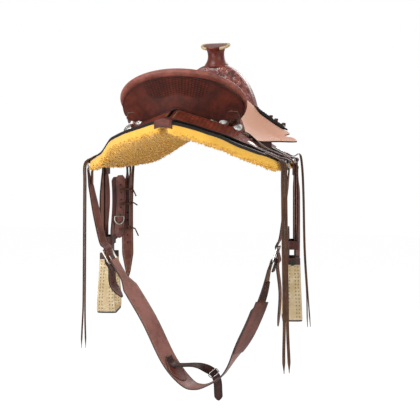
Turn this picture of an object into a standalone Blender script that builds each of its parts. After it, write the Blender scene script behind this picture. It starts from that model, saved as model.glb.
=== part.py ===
"""A wade saddle: tree, ground seat, leathers, rigging, stirrups, flank cinch and strings.

Metres, +Z up, +Y towards the horse's head, +X the off (right) side. The origin is on the centre line
where the saddle sits over a back: under the middle of the seat, level with the horse's spine.
Leather pieces are cut flat, scored along shared grid lines, and bent over the saddle or along a strap's
path, so that stacked layers keep their clearance all over.
"""

import math

import bmesh
import bpy
import numpy as np
from mathutils import Matrix, Vector

# Clearances and leather weights
FIT = 0.0004
LAYER = 0.0006
SKIRT_LEATHER = 0.0055
SEAT_LEATHER = 0.0045
STRAP_LEATHER = 0.0042
STRING_LEATHER = 0.0026

# The back that the saddle sits on: a ridge line, a side slope and the barrel's roundness
REAR_END = -0.400
FRONT_END = 0.290
RIDGE_REAR = 0.084
RIDGE_RISE = 0.045
SLOPE_REAR = 0.320
SLOPE_GAIN = 0.260
BARREL = 0.46

# Skirts and wool
SKIRT_INNER = 0.0032
SKIRT_REAR = -0.384
SKIRT_FRONT = 0.262
SKIRT_CORNER_X = 0.292
SKIRT_CORNER_Y = -0.215
SKIRT_FRONT_X = 0.248
SKIRT_CORNER_RADIUS = 0.035
WOOL_DEPTH = 0.019
WOOL_PROUD = 0.004
WOOL_CHANNEL = 0.014

# Tree bars
BAR_DEPTH = 0.017
BAR_INNER = 0.036
BAR_OUTER = 0.132
BAR_REAR = -0.318
BAR_FRONT = 0.268

# Seat: the low point of the saddle-shaped floor, its rise to the fork and its side jockeys
SEAT_LOW = 0.130
SEAT_LOW_Y = -0.045
SEAT_RISE = 1.35
SEAT_WAIST = 0.045
SEAT_SHOULDER = 0.098
SEAT_FALL = 0.170
SEAT_FRONT = 0.138
JOCKEY_REACH = 0.294
JOCKEY_LOBE_Y = 0.085
JOCKEY_LOBE_Z = 0.030
DISH_START = -0.125
DISH_HALF = 0.161
DISH_BACK = -0.2535
SEAT_GRID = 0.036

# Cantle: its rim lies in one tilted plane, an ellipse seen from above
RIM_HALF = 0.1933
RIM_BACK = -0.285
RIM_DEPTH = 0.0862
RIM_MIDDLE_Z = 0.140
RIM_HEIGHT = 0.092
RIM_SWEEP = math.radians(116)
ROLL_HALF_WIDTH = 0.0165
ROLL_HALF_THICK = 0.0085
ROLL_LEAN = math.radians(38)
CANTLE_SWEEP = math.radians(100)
CANTLE_TOP_INSET = 0.0070
CANTLE_TOP_DROP = 0.0219
CANTLE_BASE_HALF = 0.150
CANTLE_BASE_BACK = -0.258
CANTLE_BASE_DEPTH = 0.080
CANTLE_BOARD = 0.0075

# Fork and horn
FORK_HALF = 0.1390
FORK_TOP = 0.286
FORK_BASE = 0.070
GULLET_BASE = 0.105
FORK_MIDDLE_Y = 0.196
FORK_DEPTH_TOP = 0.066
FORK_DEPTH_BASE = 0.098
FORK_SQUARE = 0.93
GULLET_HALF = 0.052
GULLET_TOP = 0.212
COVER_LEATHER = 0.0038
HORN_NECK = 0.0265
HORN_SLEEVE = 0.0045
HORN_BASE_FLARE = 0.038
HORN_HEIGHT = 0.064
HORN_CAP = 0.0455
HORN_CAP_DEPTH = 0.0095
HORN_FOOT = 0.014
HORN_ROOT = 0.026
HORN_TILT = math.radians(11)
RIM_LACE = 0.0042
RIM_LACE_GAP = math.radians(62)

# Fenders, stirrup leathers and stirrups
LEG_Y = -0.030
LEG_TURN = math.radians(-12)
LAP_X = 0.3005
LAP_TOP = -0.034
LAP_LENGTH = 0.042
LEATHER_TOP_DROP = 0.010
LEG_SWING_Z = -0.055
FENDER_WIDTH = 0.190
FENDER_TOP_WIDTH = 0.088
FENDER_END = -0.301
LEATHER_WIDTH = 0.064
LEATHER_TAIL = -0.232
HOBBLE_Z = -0.286
HOBBLE_WIDTH = 0.026
BOLT_Z = -0.338
BOLT_RADIUS = 0.0050
BOLT_SLEEVE = 0.0070
STIRRUP_NECK = 0.041
STIRRUP_TREAD = 0.066
STIRRUP_HEIGHT = 0.172
STIRRUP_TOP_WIDTH = 0.048
STIRRUP_TREAD_WIDTH = 0.060
STIRRUP_WALL = 0.009

# Dees: straight bar in a leather fold, bow below
DEE_WIRE = 0.0028
DEE_RADIUS = 0.024
DEE_FOLD = 0.028
REAR_DEE_X = 0.3060
REAR_DEE_Y = -0.165
REAR_DEE_Z = -0.033
FRONT_DEE_X = 0.2835
FRONT_DEE_Y = 0.118
FRONT_DEE_Z = -0.030

# Flank billets, buckles and cinch, as they hang
BILLET_WIDTH = 0.040
BILLET_EYE = 0.014
BILLET_LEATHER = 0.0036
CINCH_WIDTH = 0.072
CINCH_TAB = 0.038
CINCH_LEATHER = 0.0050
CINCH_BOTTOM_X = 0.042
CINCH_BOTTOM_Z = -0.705
BUCKLE_WIRE = 0.0028
BUCKLE_HALF_WIDTH = 0.0245
BUCKLE_LENGTH = 0.044
TONGUE_WIRE = 0.0014
TAB_SLOT = 0.0098
TAB_SLOT_HALF = 0.0038
PIN_SLOT = 0.0066
PIN_SLOT_HALF = 0.0030
LEFT_BUCKLE_X = -0.231
LEFT_BUCKLE_Z = -0.341
RIGHT_BUCKLE_X = 0.268
RIGHT_BUCKLE_Z = -0.324
CONNECTOR_WIDTH = 0.026
HOLE_RADIUS = 0.0030
HOLE_STEP = 0.025

# Latigo and off billet
LATIGO_WIDTH = 0.038
LATIGO_END = -0.430
OFF_BILLET_END = -0.505

# Saddle strings and conchos
STRING_WIDTH = 0.0115
STRING_REAR_X = 0.3035
STRING_REAR_Y = -0.208
STRING_REAR_END = {-1: -0.600, 1: -0.640}
STRING_FRONT_X = 0.292
STRING_FRONT_Y = 0.186
STRING_FRONT_END = {-1: -0.410, 1: -0.575}
STRING_PAIR_WIDTH = 0.022
CONCHO_RADIUS = 0.0180
CONCHO_DEPTH = 0.0045
CONCHO_SEAT = 0.0016
FRONT_CONCHO_SEAT = 0.0004

GRID = 0.046

LEATHER = (0.165, 0.045, 0.032)
DARK_LEATHER = (0.085, 0.026, 0.020)
ROUGH_OUT = (0.640, 0.330, 0.220)
WOOL = (0.720, 0.400, 0.070)
RAWHIDE = (0.700, 0.600, 0.400)
STEEL = (0.620, 0.610, 0.590)
WOOD = (0.500, 0.350, 0.200)


def clear_scene():
    for item in list(bpy.data.objects):
        bpy.data.objects.remove(item)


def new_collection(name):
    made = bpy.data.collections.new(name)
    bpy.context.scene.collection.children.link(made)
    return made


clear_scene()
PARTS = new_collection("wade_saddle")
CUTTERS = new_collection("cutters")


def dress(item, colour, roughness=0.55, metallic=0.0):
    """Gives the object its own Principled material."""
    made = bpy.data.materials.new(item.name)
    made.use_nodes = True
    shader = made.node_tree.nodes["Principled BSDF"]
    shader.inputs["Base Color"].default_value = (*colour, 1.0)
    shader.inputs["Roughness"].default_value = roughness
    shader.inputs["Metallic"].default_value = metallic
    item.data.materials.clear()
    item.data.materials.append(made)


def add_part(name, bm, colour, roughness=0.55, metallic=0.0, smooth=True):
    """Turns a closed bmesh into a named part with its material."""
    bmesh.ops.remove_doubles(bm, verts=bm.verts, dist=1e-6)
    bmesh.ops.recalc_face_normals(bm, faces=bm.faces)
    mesh = bpy.data.meshes.new(name)
    bm.to_mesh(mesh)
    bm.free()
    item = bpy.data.objects.new(name, mesh)
    PARTS.objects.link(item)
    if smooth:
        mesh.shade_smooth()
        mesh.set_sharp_from_angle(angle=math.radians(40))
    dress(item, colour, roughness, metallic)
    return item


def eased(t):
    """A smooth step from 0 to 1."""
    t = np.clip(t, 0.0, 1.0)
    return t * t * (3 - 2 * t)


# The surfaces that the leathers lie on

def back_height(x, y):
    """The skirts' upper face: a ridge that rises forwards, with sides that steepen towards the withers."""
    forward = np.clip((y - REAR_END) / (FRONT_END - REAR_END), 0.0, 1.2) ** 3
    side = np.abs(x)
    slope = SLOPE_REAR + SLOPE_GAIN * forward
    return RIDGE_REAR + RIDGE_RISE * forward - slope * side - 0.5 * BARREL * side * side


def rim_point(angle):
    """The cantle's rim at an angle from the middle of the back."""
    return np.array((
        RIM_HALF * math.sin(angle),
        RIM_BACK + RIM_DEPTH * (1 - math.cos(angle)),
        RIM_MIDDLE_Z + RIM_HEIGHT * math.cos(angle),
    ))


def rim_height(y):
    """The height of the rim's tilted plane over a point on the centre line."""
    return RIM_MIDDLE_Z + RIM_HEIGHT * (RIM_BACK + RIM_DEPTH - y) / RIM_DEPTH


def seat_height(x, y):
    """The seat's upper face: a floor with a low point, side jockeys, and a dish that rises to the rim."""
    side = np.abs(x)
    floor = SEAT_LOW + SEAT_RISE * np.maximum(0.0, y - SEAT_LOW_Y) ** 2
    lobe = JOCKEY_LOBE_Z + 0.45 * np.maximum(0.0, y - JOCKEY_LOBE_Y) + 0.06 * np.minimum(0.0,
                                                                                         y - JOCKEY_LOBE_Y)
    shoulder = SEAT_WAIST + (SEAT_SHOULDER - SEAT_WAIST) * eased(y / SEAT_FRONT)
    fall = 0.86 * eased((side - shoulder) / SEAT_FALL) + 0.14 * side / JOCKEY_REACH
    surface = floor - (floor - lobe) * fall
    hollow = np.sqrt((x / DISH_HALF) ** 2 + (np.minimum(0.0, y - DISH_START) / (DISH_BACK - DISH_START)) ** 2)
    dish = np.clip((hollow - 0.10) / 0.90, 0.0, 1.0) ** 1.6 * eased((DISH_START + 0.02 - y) / 0.06)
    return surface + np.maximum(0.0, rim_height(y) - 0.007 - surface) * dish


def jockey_height(x, y):
    """The rear jockeys' under face: over the bars at the middle, down on the skirts at the outer ends."""
    side = np.abs(x)
    over_bar = BAR_DEPTH + 0.014 * eased((y + 0.37) / 0.16)
    lift = LAYER + over_bar * (1 - eased((side - 0.105) / 0.125))
    return back_height(x, y) + lift


def surface_frame(height, x, y):
    """Points of a height surface and its unit normals, by central differences."""
    d = 1e-4
    z = height(x, y)
    slope_x = (height(x + d, y) - height(x - d, y)) / (2 * d)
    slope_y = (height(x, y + d) - height(x, y - d)) / (2 * d)
    normal = np.stack([-slope_x, -slope_y, np.ones_like(z)], axis=1)
    normal /= np.linalg.norm(normal, axis=1)[:, None]
    return np.stack([x, y, z], axis=1), normal


def score(bm, axis, places):
    """Cuts every face along lines at the given places on one axis."""
    normal = Vector((0, 0, 0))
    normal[axis] = 1.0
    for place in places:
        geometry = bm.verts[:] + bm.edges[:] + bm.faces[:]
        bmesh.ops.bisect_plane(bm, geom=geometry, plane_co=normal * place, plane_no=normal, dist=1e-6)


def grid_lines(low, high, step):
    return [step * n for n in range(math.ceil(low / step), math.floor(high / step) + 1)]


def bend(bm, rule):
    """Moves every vertex of a flat pattern by rule, which takes arrays of x, y and thickness."""
    flat = np.array([v.co for v in bm.verts])
    bent = rule(flat[:, 0], flat[:, 1], flat[:, 2])
    for vertex, place in zip(bm.verts, bent):
        vertex.co = place


def slab(outline, low, high, lines_x, lines_y):
    """A flat pattern of an outline, scored and given its thickness."""
    bm = bmesh.new()
    bm.faces.new([bm.verts.new((x, y, low)) for x, y in outline])
    score(bm, 0, lines_x)
    score(bm, 1, lines_y)
    bmesh.ops.remove_doubles(bm, verts=bm.verts, dist=2e-4)
    bmesh.ops.triangulate(bm, faces=bm.faces)
    grown = bmesh.ops.extrude_face_region(bm, geom=bm.faces[:])
    for item in grown["geom"]:
        if isinstance(item, bmesh.types.BMVert):
            item.co.z = high
    return bm


def panel(name, outline, low, high, colour, height=back_height, step=GRID, roughness=0.55, profile=None):
    """A leather panel cut in plan view and laid on a height surface, from low to high above it."""
    places = np.array(outline)
    lines_x = grid_lines(places[:, 0].min(), places[:, 0].max(), step)
    lines_y = grid_lines(places[:, 1].min(), places[:, 1].max(), step)
    bm = slab(outline, low, high, lines_x, lines_y)

    def rule(x, y, w):
        point, normal = surface_frame(height, x, y)
        if profile is not None:
            w = profile(x, y, w)
        return point + normal * w[:, None]

    bend(bm, rule)
    return add_part(name, bm, colour, roughness)


def mirrored(outline):
    return [(-x, y) for x, y in reversed(outline)]


def sided(side, outline):
    """An outline drawn for the off (right) side, for either side."""
    return outline if side > 0 else mirrored(outline)


def arc(cx, cy, radius, start, end, count, squash=1.0):
    """Points on an arc, in degrees."""
    angles = np.radians(np.linspace(start, end, count))
    return [(cx + radius * math.cos(a), cy + radius * squash * math.sin(a)) for a in angles]


def smooth_path(points, count):
    """A curve through the points, resampled at equal steps of length."""
    p = np.array(points, float)
    p = np.vstack([2 * p[0] - p[1], p, 2 * p[-1] - p[-2]])
    fine = []
    for i in range(1, len(p) - 2):
        a, b, c, d = p[i - 1], p[i], p[i + 1], p[i + 2]
        for t in np.linspace(0, 1, 24, endpoint=False):
            fine.append(0.5 * (2 * b + (c - a) * t + (2 * a - 5 * b + 4 * c - d) * t * t
                               + (3 * b - a - 3 * c + d) * t ** 3))
    fine.append(p[-2])
    fine = np.array(fine)
    run = np.concatenate([[0], np.cumsum(np.linalg.norm(np.diff(fine, axis=0), axis=1))])
    at = np.linspace(0, run[-1], count)
    return np.stack([np.interp(at, run, fine[:, k]) for k in range(3)], axis=1)


def path_frames(path, sides):
    """Tangents, and side vectors made square to them, along a path."""
    tangent = np.gradient(path, axis=0)
    tangent /= np.linalg.norm(tangent, axis=1)[:, None]
    side = sides - tangent * (sides * tangent).sum(1)[:, None]
    side /= np.linalg.norm(side, axis=1)[:, None]
    return tangent, side


def strap(name, path, sides, width, thickness, colour, outline=None, holes=(), hole_radius=0.0025,
          slots=(), roughness=0.5):
    """A strap cut flat, with its holes, then bent along a path.

    path holds the stations; sides holds the width's direction at each. outline, in strap coordinates,
    is the cut shape where it isn't a plain round-tipped strip. holes are places along the strap.
    """
    path = np.asarray(path, float)
    sides = np.broadcast_to(np.asarray(sides, float), path.shape)
    run = np.concatenate([[0], np.cumsum(np.linalg.norm(np.diff(path, axis=0), axis=1))])
    length = run[-1]
    half = width / 2
    if outline is None:
        tip = min(half, 0.35 * length)
        outline = [(0, -half), (length - tip, -half), (length - 0.3 * tip, -0.62 * half), (length, 0),
                   (length - 0.3 * tip, 0.62 * half), (length - tip, half), (0, half)]
    if len(holes) or len(slots):
        cuts = [arc(s, 0, hole_radius, 0, 315, 8) for s in holes] + [slot_ring(*slot) for slot in slots]
        bm = punched_slab(name, outline, thickness, cuts, run)
    else:
        bm = slab(outline, -thickness / 2, thickness / 2, run[1:-1], [])
    tangent, side = path_frames(path, sides)
    normal = np.cross(tangent, side)

    def rule(s, t, w):
        columns = [np.stack([np.interp(s, run, table[:, k]) for k in range(3)], axis=1)
                   for table in (path, side, normal)]
        return columns[0] + columns[1] * t[:, None] + columns[2] * w[:, None]

    bend(bm, rule)
    return add_part(name, bm, colour, roughness)


def slot_ring(start, end, half):
    """The outline of a long slot along a strap."""
    return (arc(start + half, 0, half, 90, 270, 4) + arc(end - half, 0, half, -90, 90, 4))


def punched_slab(name, outline, thickness, cuts, run):
    """A flat strap with holes, as a filled curve made into a mesh and scored."""
    curve = bpy.data.curves.new(name + "_cut", "CURVE")
    curve.dimensions = "2D"
    curve.fill_mode = "BOTH"
    curve.extrude = thickness / 2
    for ring in [outline] + cuts:
        spline = curve.splines.new("POLY")
        spline.points.add(len(ring) - 1)
        for point, (x, y) in zip(spline.points, ring):
            point.co = (x, y, 0, 1)
        spline.use_cyclic_u = True
    holder = bpy.data.objects.new(name + "_cut", curve)
    CUTTERS.objects.link(holder)
    bpy.context.view_layer.update()
    evaluated = holder.evaluated_get(bpy.context.evaluated_depsgraph_get())
    mesh = bpy.data.meshes.new_from_object(evaluated)
    bpy.data.objects.remove(holder)
    bm = bmesh.new()
    bm.from_mesh(mesh)
    bpy.data.meshes.remove(mesh)
    bmesh.ops.remove_doubles(bm, verts=bm.verts, dist=1e-5)
    bmesh.ops.dissolve_limit(bm, angle_limit=math.radians(1), verts=bm.verts, edges=bm.edges)
    edges = [s for ring in cuts for s, t in ring]
    clear = [s for s in run[1:-1] if all(abs(s - e) > 0.0004 for e in edges)]
    score(bm, 0, clear)
    bmesh.ops.triangulate(bm, faces=bm.faces)
    return bm


def loft(name, rings, colour, closed=False, roughness=0.55, metallic=0.0):
    """Joins equal rings of points into one closed body, with caps or as a closed loop."""
    bm = bmesh.new()
    rows = [[bm.verts.new(p) for p in ring] for ring in rings]
    count = len(rows[0])
    pairs = list(zip(rows, rows[1:]))
    if closed:
        pairs.append((rows[-1], rows[0]))
    for a, b in pairs:
        for i in range(count):
            j = (i + 1) % count
            bm.faces.new((a[i], a[j], b[j], b[i]))
    if not closed:
        bm.faces.new(rows[0])
        bm.faces.new(rows[-1])
    bmesh.ops.triangulate(bm, faces=bm.faces)
    return add_part(name, bm, colour, roughness, metallic)


def tube(name, points, radius, colour, closed=True, metallic=1.0, roughness=0.3, rounds=2):
    """A bent wire, as a curve with a round bevel, made into a mesh."""
    curve = bpy.data.curves.new(name + "_wire", "CURVE")
    curve.dimensions = "3D"
    curve.bevel_depth = radius
    curve.bevel_resolution = rounds
    curve.use_fill_caps = not closed
    spline = curve.splines.new("POLY")
    spline.points.add(len(points) - 1)
    for point, place in zip(spline.points, points):
        point.co = (*place, 1)
    spline.use_cyclic_u = closed
    holder = bpy.data.objects.new(name + "_wire", curve)
    CUTTERS.objects.link(holder)
    bpy.context.view_layer.update()
    mesh = bpy.data.meshes.new_from_object(holder.evaluated_get(bpy.context.evaluated_depsgraph_get()))
    bpy.data.objects.remove(holder)
    bm = bmesh.new()
    bm.from_mesh(mesh)
    bpy.data.meshes.remove(mesh)
    bmesh.ops.remove_doubles(bm, verts=bm.verts, dist=1e-5)
    return add_part(name, bm, colour, roughness, metallic)


def turned(name, profile, matrix, colour, steps=24, roughness=0.55, metallic=0.0, ring=False):
    """A turned piece: a profile in the XZ plane, outer side from top to bottom, with a Screw modifier.

    ring joins the profile's last point to its first, for a piece that is open in the middle.
    """
    mesh = bpy.data.meshes.new(name)
    edges = [(i, i + 1) for i in range(len(profile) - 1)]
    if ring:
        edges.append((len(profile) - 1, 0))
    mesh.from_pydata([(r, 0, z) for r, z in profile], edges, [])
    item = bpy.data.objects.new(name, mesh)
    PARTS.objects.link(item)
    item.matrix_world = matrix
    turn = item.modifiers.new("turn", "SCREW")
    turn.axis = "Z"
    turn.steps = steps
    turn.render_steps = steps
    turn.use_merge_vertices = True
    turn.merge_threshold = 0.00005
    turn.use_smooth_shade = True
    dress(item, colour, roughness, metallic)
    return item


# Skirts and wool

def skirt_outline():
    """Half of the square skirts in plan, for the off side, from the rear middle anticlockwise."""
    r = SKIRT_CORNER_RADIUS
    rear = math.atan2(SKIRT_CORNER_Y - SKIRT_REAR, SKIRT_CORNER_X)
    corner = arc(SKIRT_CORNER_X - r, SKIRT_CORNER_Y + r * 0.9, r, -90 + math.degrees(rear) * 0.9, 4, 7)
    front = arc(SKIRT_FRONT_X - 2 * r, SKIRT_FRONT - 2 * r, 2 * r, 12, 90, 6)
    return ([(SKIRT_INNER, SKIRT_REAR + 0.002), (0.030, SKIRT_REAR + 0.003), (0.120, SKIRT_REAR + 0.042)]
            + corner + [(SKIRT_CORNER_X - 0.006, 0.03)] + front
            + [(0.100, SKIRT_FRONT - 0.004), (0.050, SKIRT_FRONT - 0.045), (SKIRT_INNER + 0.004, 0.110),
               (SKIRT_INNER, -0.10)])


def make_skirts():
    outline = skirt_outline()
    for side, name in ((-1, "left"), (1, "right")):
        panel("skirt_" + name, sided(side, outline), -SKIRT_LEATHER, 0.0, DARK_LEATHER)
        make_wool(side, name)


def make_wool(side, name):
    """The wool lining: the skirt's outline, drawn out a little, open over the spine, rounded at its rim."""
    middle = np.array((0.16, -0.06))
    outline = []
    for x, y in skirt_outline():
        away = np.array((x, y)) - middle
        out = np.array((x, y)) + away / np.linalg.norm(away) * WOOL_PROUD
        outline.append((max(WOOL_CHANNEL, out[0]), out[1]))
    ring = np.array(outline)

    def edge_distance(x, y):
        best = np.full(len(x), 1.0)
        for a, b in zip(ring, np.roll(ring, -1, axis=0)):
            run = b - a
            share = np.clip(((np.abs(x) - a[0]) * run[0] + (y - a[1]) * run[1]) / (run @ run), 0, 1)
            best = np.minimum(best, np.hypot(np.abs(x) - a[0] - share * run[0], y - a[1] - share * run[1]))
        return best

    top = -SKIRT_LEATHER - 2 * LAYER

    def profile(x, y, w):
        full = top - WOOL_DEPTH * (0.45 + 0.55 * eased(edge_distance(x, y) / 0.030))
        return np.where(w < top - WOOL_DEPTH / 2, full, top)

    panel("sheepskin_" + name, sided(side, outline), top - WOOL_DEPTH, top, WOOL, roughness=0.95,
          profile=profile)


def make_skirt_connector():
    """The short strap that ties the skirts together behind the cantle, folded over their rear edges."""
    rear = SKIRT_REAR + 0.0015
    z = float(back_height(0.0, rear))
    outer = STRAP_LEATHER / 2 + FIT
    points = [(0.0, rear + 0.062, z + outer + 0.004), (0.0, rear + 0.020, z + outer + 0.0012),
              (0.0, rear - 0.0035, z + 0.002), (0.0, rear - 0.0062, z - 0.006),
              (0.0, rear - 0.0060, z - 0.020)]
    path = smooth_path(points, 12)

    bm = slab([(0, -0.026), (0.105, -0.026), (0.105, 0.026), (0, 0.026)], -STRAP_LEATHER / 2,
              STRAP_LEATHER / 2, np.linspace(0, 0.105, 12)[1:-1], [-0.013, 0.0, 0.013])
    run = np.concatenate([[0], np.cumsum(np.linalg.norm(np.diff(path, axis=0), axis=1))])
    tangent, across = path_frames(path, np.tile((1.0, 0, 0), (12, 1)))
    normal = np.cross(tangent, across)

    def rule(s, t, w):
        s = s * run[-1] / 0.105
        at = np.stack([np.interp(s, run, path[:, k]) for k in range(3)], axis=1)
        up = np.stack([np.interp(s, run, normal[:, k]) for k in range(3)], axis=1)
        at = at + up * w[:, None]
        at[:, 0] += t
        at[:, 2] -= SLOPE_REAR * np.abs(t)
        return at

    bend(bm, rule)
    add_part("skirt_connector", bm, LEATHER)


# The tree: bars, ground seat, fork and cantle

def bar_outline():
    """A bar in plan: a wide pad at each end and a narrower waist."""
    rear = arc(0.084, BAR_REAR + 0.048, 0.048, 270 - 75, 270 + 75, 6)
    front = arc(0.086, BAR_FRONT - 0.046, 0.046, 15, 165, 6)
    return rear + [(0.128, -0.10), (0.122, 0.06)] + front + [(0.050, 0.06), (0.044, -0.10)]


def bar_crown(x):
    across = np.clip((np.abs(x) - BAR_INNER) / (BAR_OUTER - BAR_INNER), 0, 1)
    return LAYER + BAR_DEPTH * (0.55 + 0.45 * np.sin(math.pi * across))


def bar_top(x, y):
    """The height of the bars' upper face over a point of the plan."""
    steep = 0.56
    shift = BAR_DEPTH * steep / math.hypot(1, steep)
    return back_height(x, y) + bar_crown(np.abs(x) - shift) * math.hypot(1, steep)


def make_bars():
    def profile(x, y, w):
        return np.where(w < BAR_DEPTH / 2, 2 * LAYER, bar_crown(x))

    for side, name in ((-1, "left"), (1, "right")):
        panel("tree_bar_" + name, sided(side, bar_outline()), LAYER, LAYER + BAR_DEPTH, WOOD, profile=profile)


def make_ground_seat():
    """The shaped floor that fills between the bars and the seat leather."""
    outline = [(0.0, -0.205), (0.060, -0.198), (0.106, -0.160), (0.120, -0.08), (0.116, 0.06),
               (0.100, SEAT_FRONT - 0.004), (0.0, SEAT_FRONT - 0.004)]
    outline = outline + mirrored(outline)[1:-1]
    under = SEAT_LEATHER + 6 * LAYER

    def floor(x, y):
        return np.maximum(back_height(x, y) + BAR_DEPTH + 3 * LAYER + 0.004,
                          seat_height(x, y) - under - 0.010)

    bm = slab(outline, 0.0, 1.0, grid_lines(-0.12, 0.12, SEAT_GRID),
              grid_lines(-0.205, SEAT_FRONT, SEAT_GRID))

    def rule(x, y, w):
        top, normal = surface_frame(seat_height, x, y)
        top = top - normal * under
        low = np.stack([x, y, np.minimum(floor(x, y), top[:, 2] - 0.004)], axis=1)
        return np.where(w[:, None] > 0.5, top, low)

    bend(bm, rule)
    add_part("ground_seat", bm, LEATHER)


def seat_outline():
    """The seat and its side jockeys in plan, off side, from the front middle clockwise to the cantle."""
    middle = RIM_BACK + RIM_DEPTH
    rear = [(DISH_HALF * math.sin(a), middle - (middle - DISH_BACK) * math.cos(a))
            for a in np.radians((0, 18, 36, 54, 72, 90))]
    lobe = arc(JOCKEY_REACH - 0.040, JOCKEY_LOBE_Y - 0.012, 0.040, -95, 70, 8)
    side = [(0.163, -0.172), (0.174, -0.150), (0.180, -0.110), (0.205, -0.040), (0.232, 0.010)]
    front = [(0.2450, 0.112), (0.262, 0.134), (0.250, 0.146), (0.205, 0.132), (0.165, 0.118),
             (0.150, SEAT_FRONT - 0.012),
             (0.120, SEAT_FRONT), (0.0, SEAT_FRONT)]
    return rear + side + lobe + front


def make_seat():
    half = seat_outline()
    outline = half + mirrored(half)[1:-1]
    panel("seat", outline, -SEAT_LEATHER, 0.0, ROUGH_OUT, height=seat_height, step=SEAT_GRID, roughness=0.85)


def make_rear_jockeys():
    """The two leathers behind the cantle, over the rear ends of the bars."""
    rear = [(0.0016, -0.352), (0.040, -0.347), (0.120, -0.303), (0.190, -0.245)]
    tip = arc(0.216, -0.196, 0.030, -55, 80, 6)
    under_wall = [base_plan(a) for a in np.radians((60, 40, 20, 0))]
    front = [(max(x, 0.0016) - 0.001, y + 0.0015) for x, y in under_wall]
    outline = rear + tip + [(0.178, -0.142), (0.140, -0.195)] + front[:-1] + [(0.0016, front[-1][1])]
    for side, name in ((-1, "left"), (1, "right")):
        panel("rear_jockey_" + name, sided(side, outline), 0.0, SEAT_LEATHER, LEATHER, height=jockey_height,
              step=0.03)


def front_jockey_height(x, y):
    side = np.abs(x)
    on_bar = BAR_DEPTH + LAYER * 2
    return back_height(x, y) + LAYER + on_bar * (1 - eased((side - 0.12) / 0.06))


def make_front_jockeys():
    """The leathers that run from the fork's foot out over the front of the skirts."""
    outline = [(0.158, 0.150), (0.205, 0.146), (0.248, 0.160), (0.262, 0.172)] \
        + arc(0.225, 0.205, 0.034, 0, 95, 5) + [(0.165, 0.246), (0.158, 0.200)]
    for side, name in ((-1, "left"), (1, "right")):
        panel("front_jockey_" + name, sided(side, outline), 0.0, SEAT_LEATHER, DARK_LEATHER,
              height=front_jockey_height, step=0.03)


def arch_point(angle, half, base, top, square):
    """A point on a squared arch, angle 0 at the off side foot and pi at the near side foot."""
    c, s = math.cos(angle), math.sin(angle)
    return (half * math.copysign(abs(c) ** square, c), base + (top - base) * abs(s) ** square)


def fork_ring(angle, grow, y_grow):
    """The fork's section at an arch angle: its outer chain, from the rear inner edge to the front one."""
    outer = np.array(arch_point(angle, FORK_HALF, FORK_BASE, FORK_TOP, FORK_SQUARE))
    inner = np.array(arch_point(angle, GULLET_HALF, GULLET_BASE, GULLET_TOP, 0.9))
    out = outer - inner
    length = np.linalg.norm(out)
    out = out / length
    rise = abs(math.sin(angle)) ** 0.8
    half = 0.5 * (FORK_DEPTH_BASE + (FORK_DEPTH_TOP - FORK_DEPTH_BASE) * rise)
    lean = 0.010 * (1 - rise)
    reach = length + grow
    depth = half + y_grow
    chain = [(0.004 - min(0, grow), -depth * 0.96), (reach * 0.55, -depth), (reach * 0.86, -depth * 0.84),
             (reach * 0.985, -depth * 0.48), (reach, 0.0), (reach * 0.985, depth * 0.48),
             (reach * 0.86, depth * 0.84), (reach * 0.55, depth), (0.004 - min(0, grow), depth * 0.96)]
    return [np.array((inner[0] + out[0] * r, FORK_MIDDLE_Y + lean + y, inner[1] + out[1] * r)) for r,
            y in chain]


FORK_ANGLES = np.linspace(math.radians(4), math.pi - math.radians(4), 19)


def seated(rings, above):
    """Brings the first and last rings down on the bars."""
    for ring in (rings[0], rings[-1]):
        for point in ring:
            point[2] = float(bar_top(point[0], point[1])) + above
    return rings


def fork_solid(angles, grow):
    return [fork_ring(a, grow, grow) for a in angles]


def make_fork():
    angles = FORK_ANGLES
    loft("tree_fork", seated(fork_solid(angles, 0.0), 5 * LAYER), WOOD)
    under = seated(fork_solid(angles, FIT * 2), 5 * LAYER)
    over = seated(fork_solid(angles, FIT * 2 + COVER_LEATHER), 5 * LAYER)
    loft("fork_cover", [a + b[::-1] for a, b in zip(over, under)], LEATHER, roughness=0.35)


def cut_from(item, cutter, operation="DIFFERENCE"):
    """Files an object under the cutters and takes it away from a part."""
    for group in list(cutter.users_collection):
        group.objects.unlink(cutter)
    CUTTERS.objects.link(cutter)
    cutter.hide_render = True
    cutter.display_type = "WIRE"
    cut = item.modifiers.new(cutter.name, "BOOLEAN")
    cut.operation = operation
    cut.object = cutter


def peg(name, radius, depth, place):
    bpy.ops.mesh.primitive_cylinder_add(vertices=16, radius=radius, depth=depth)
    item = bpy.context.object
    item.name = name
    item.matrix_world = place
    return item


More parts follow.
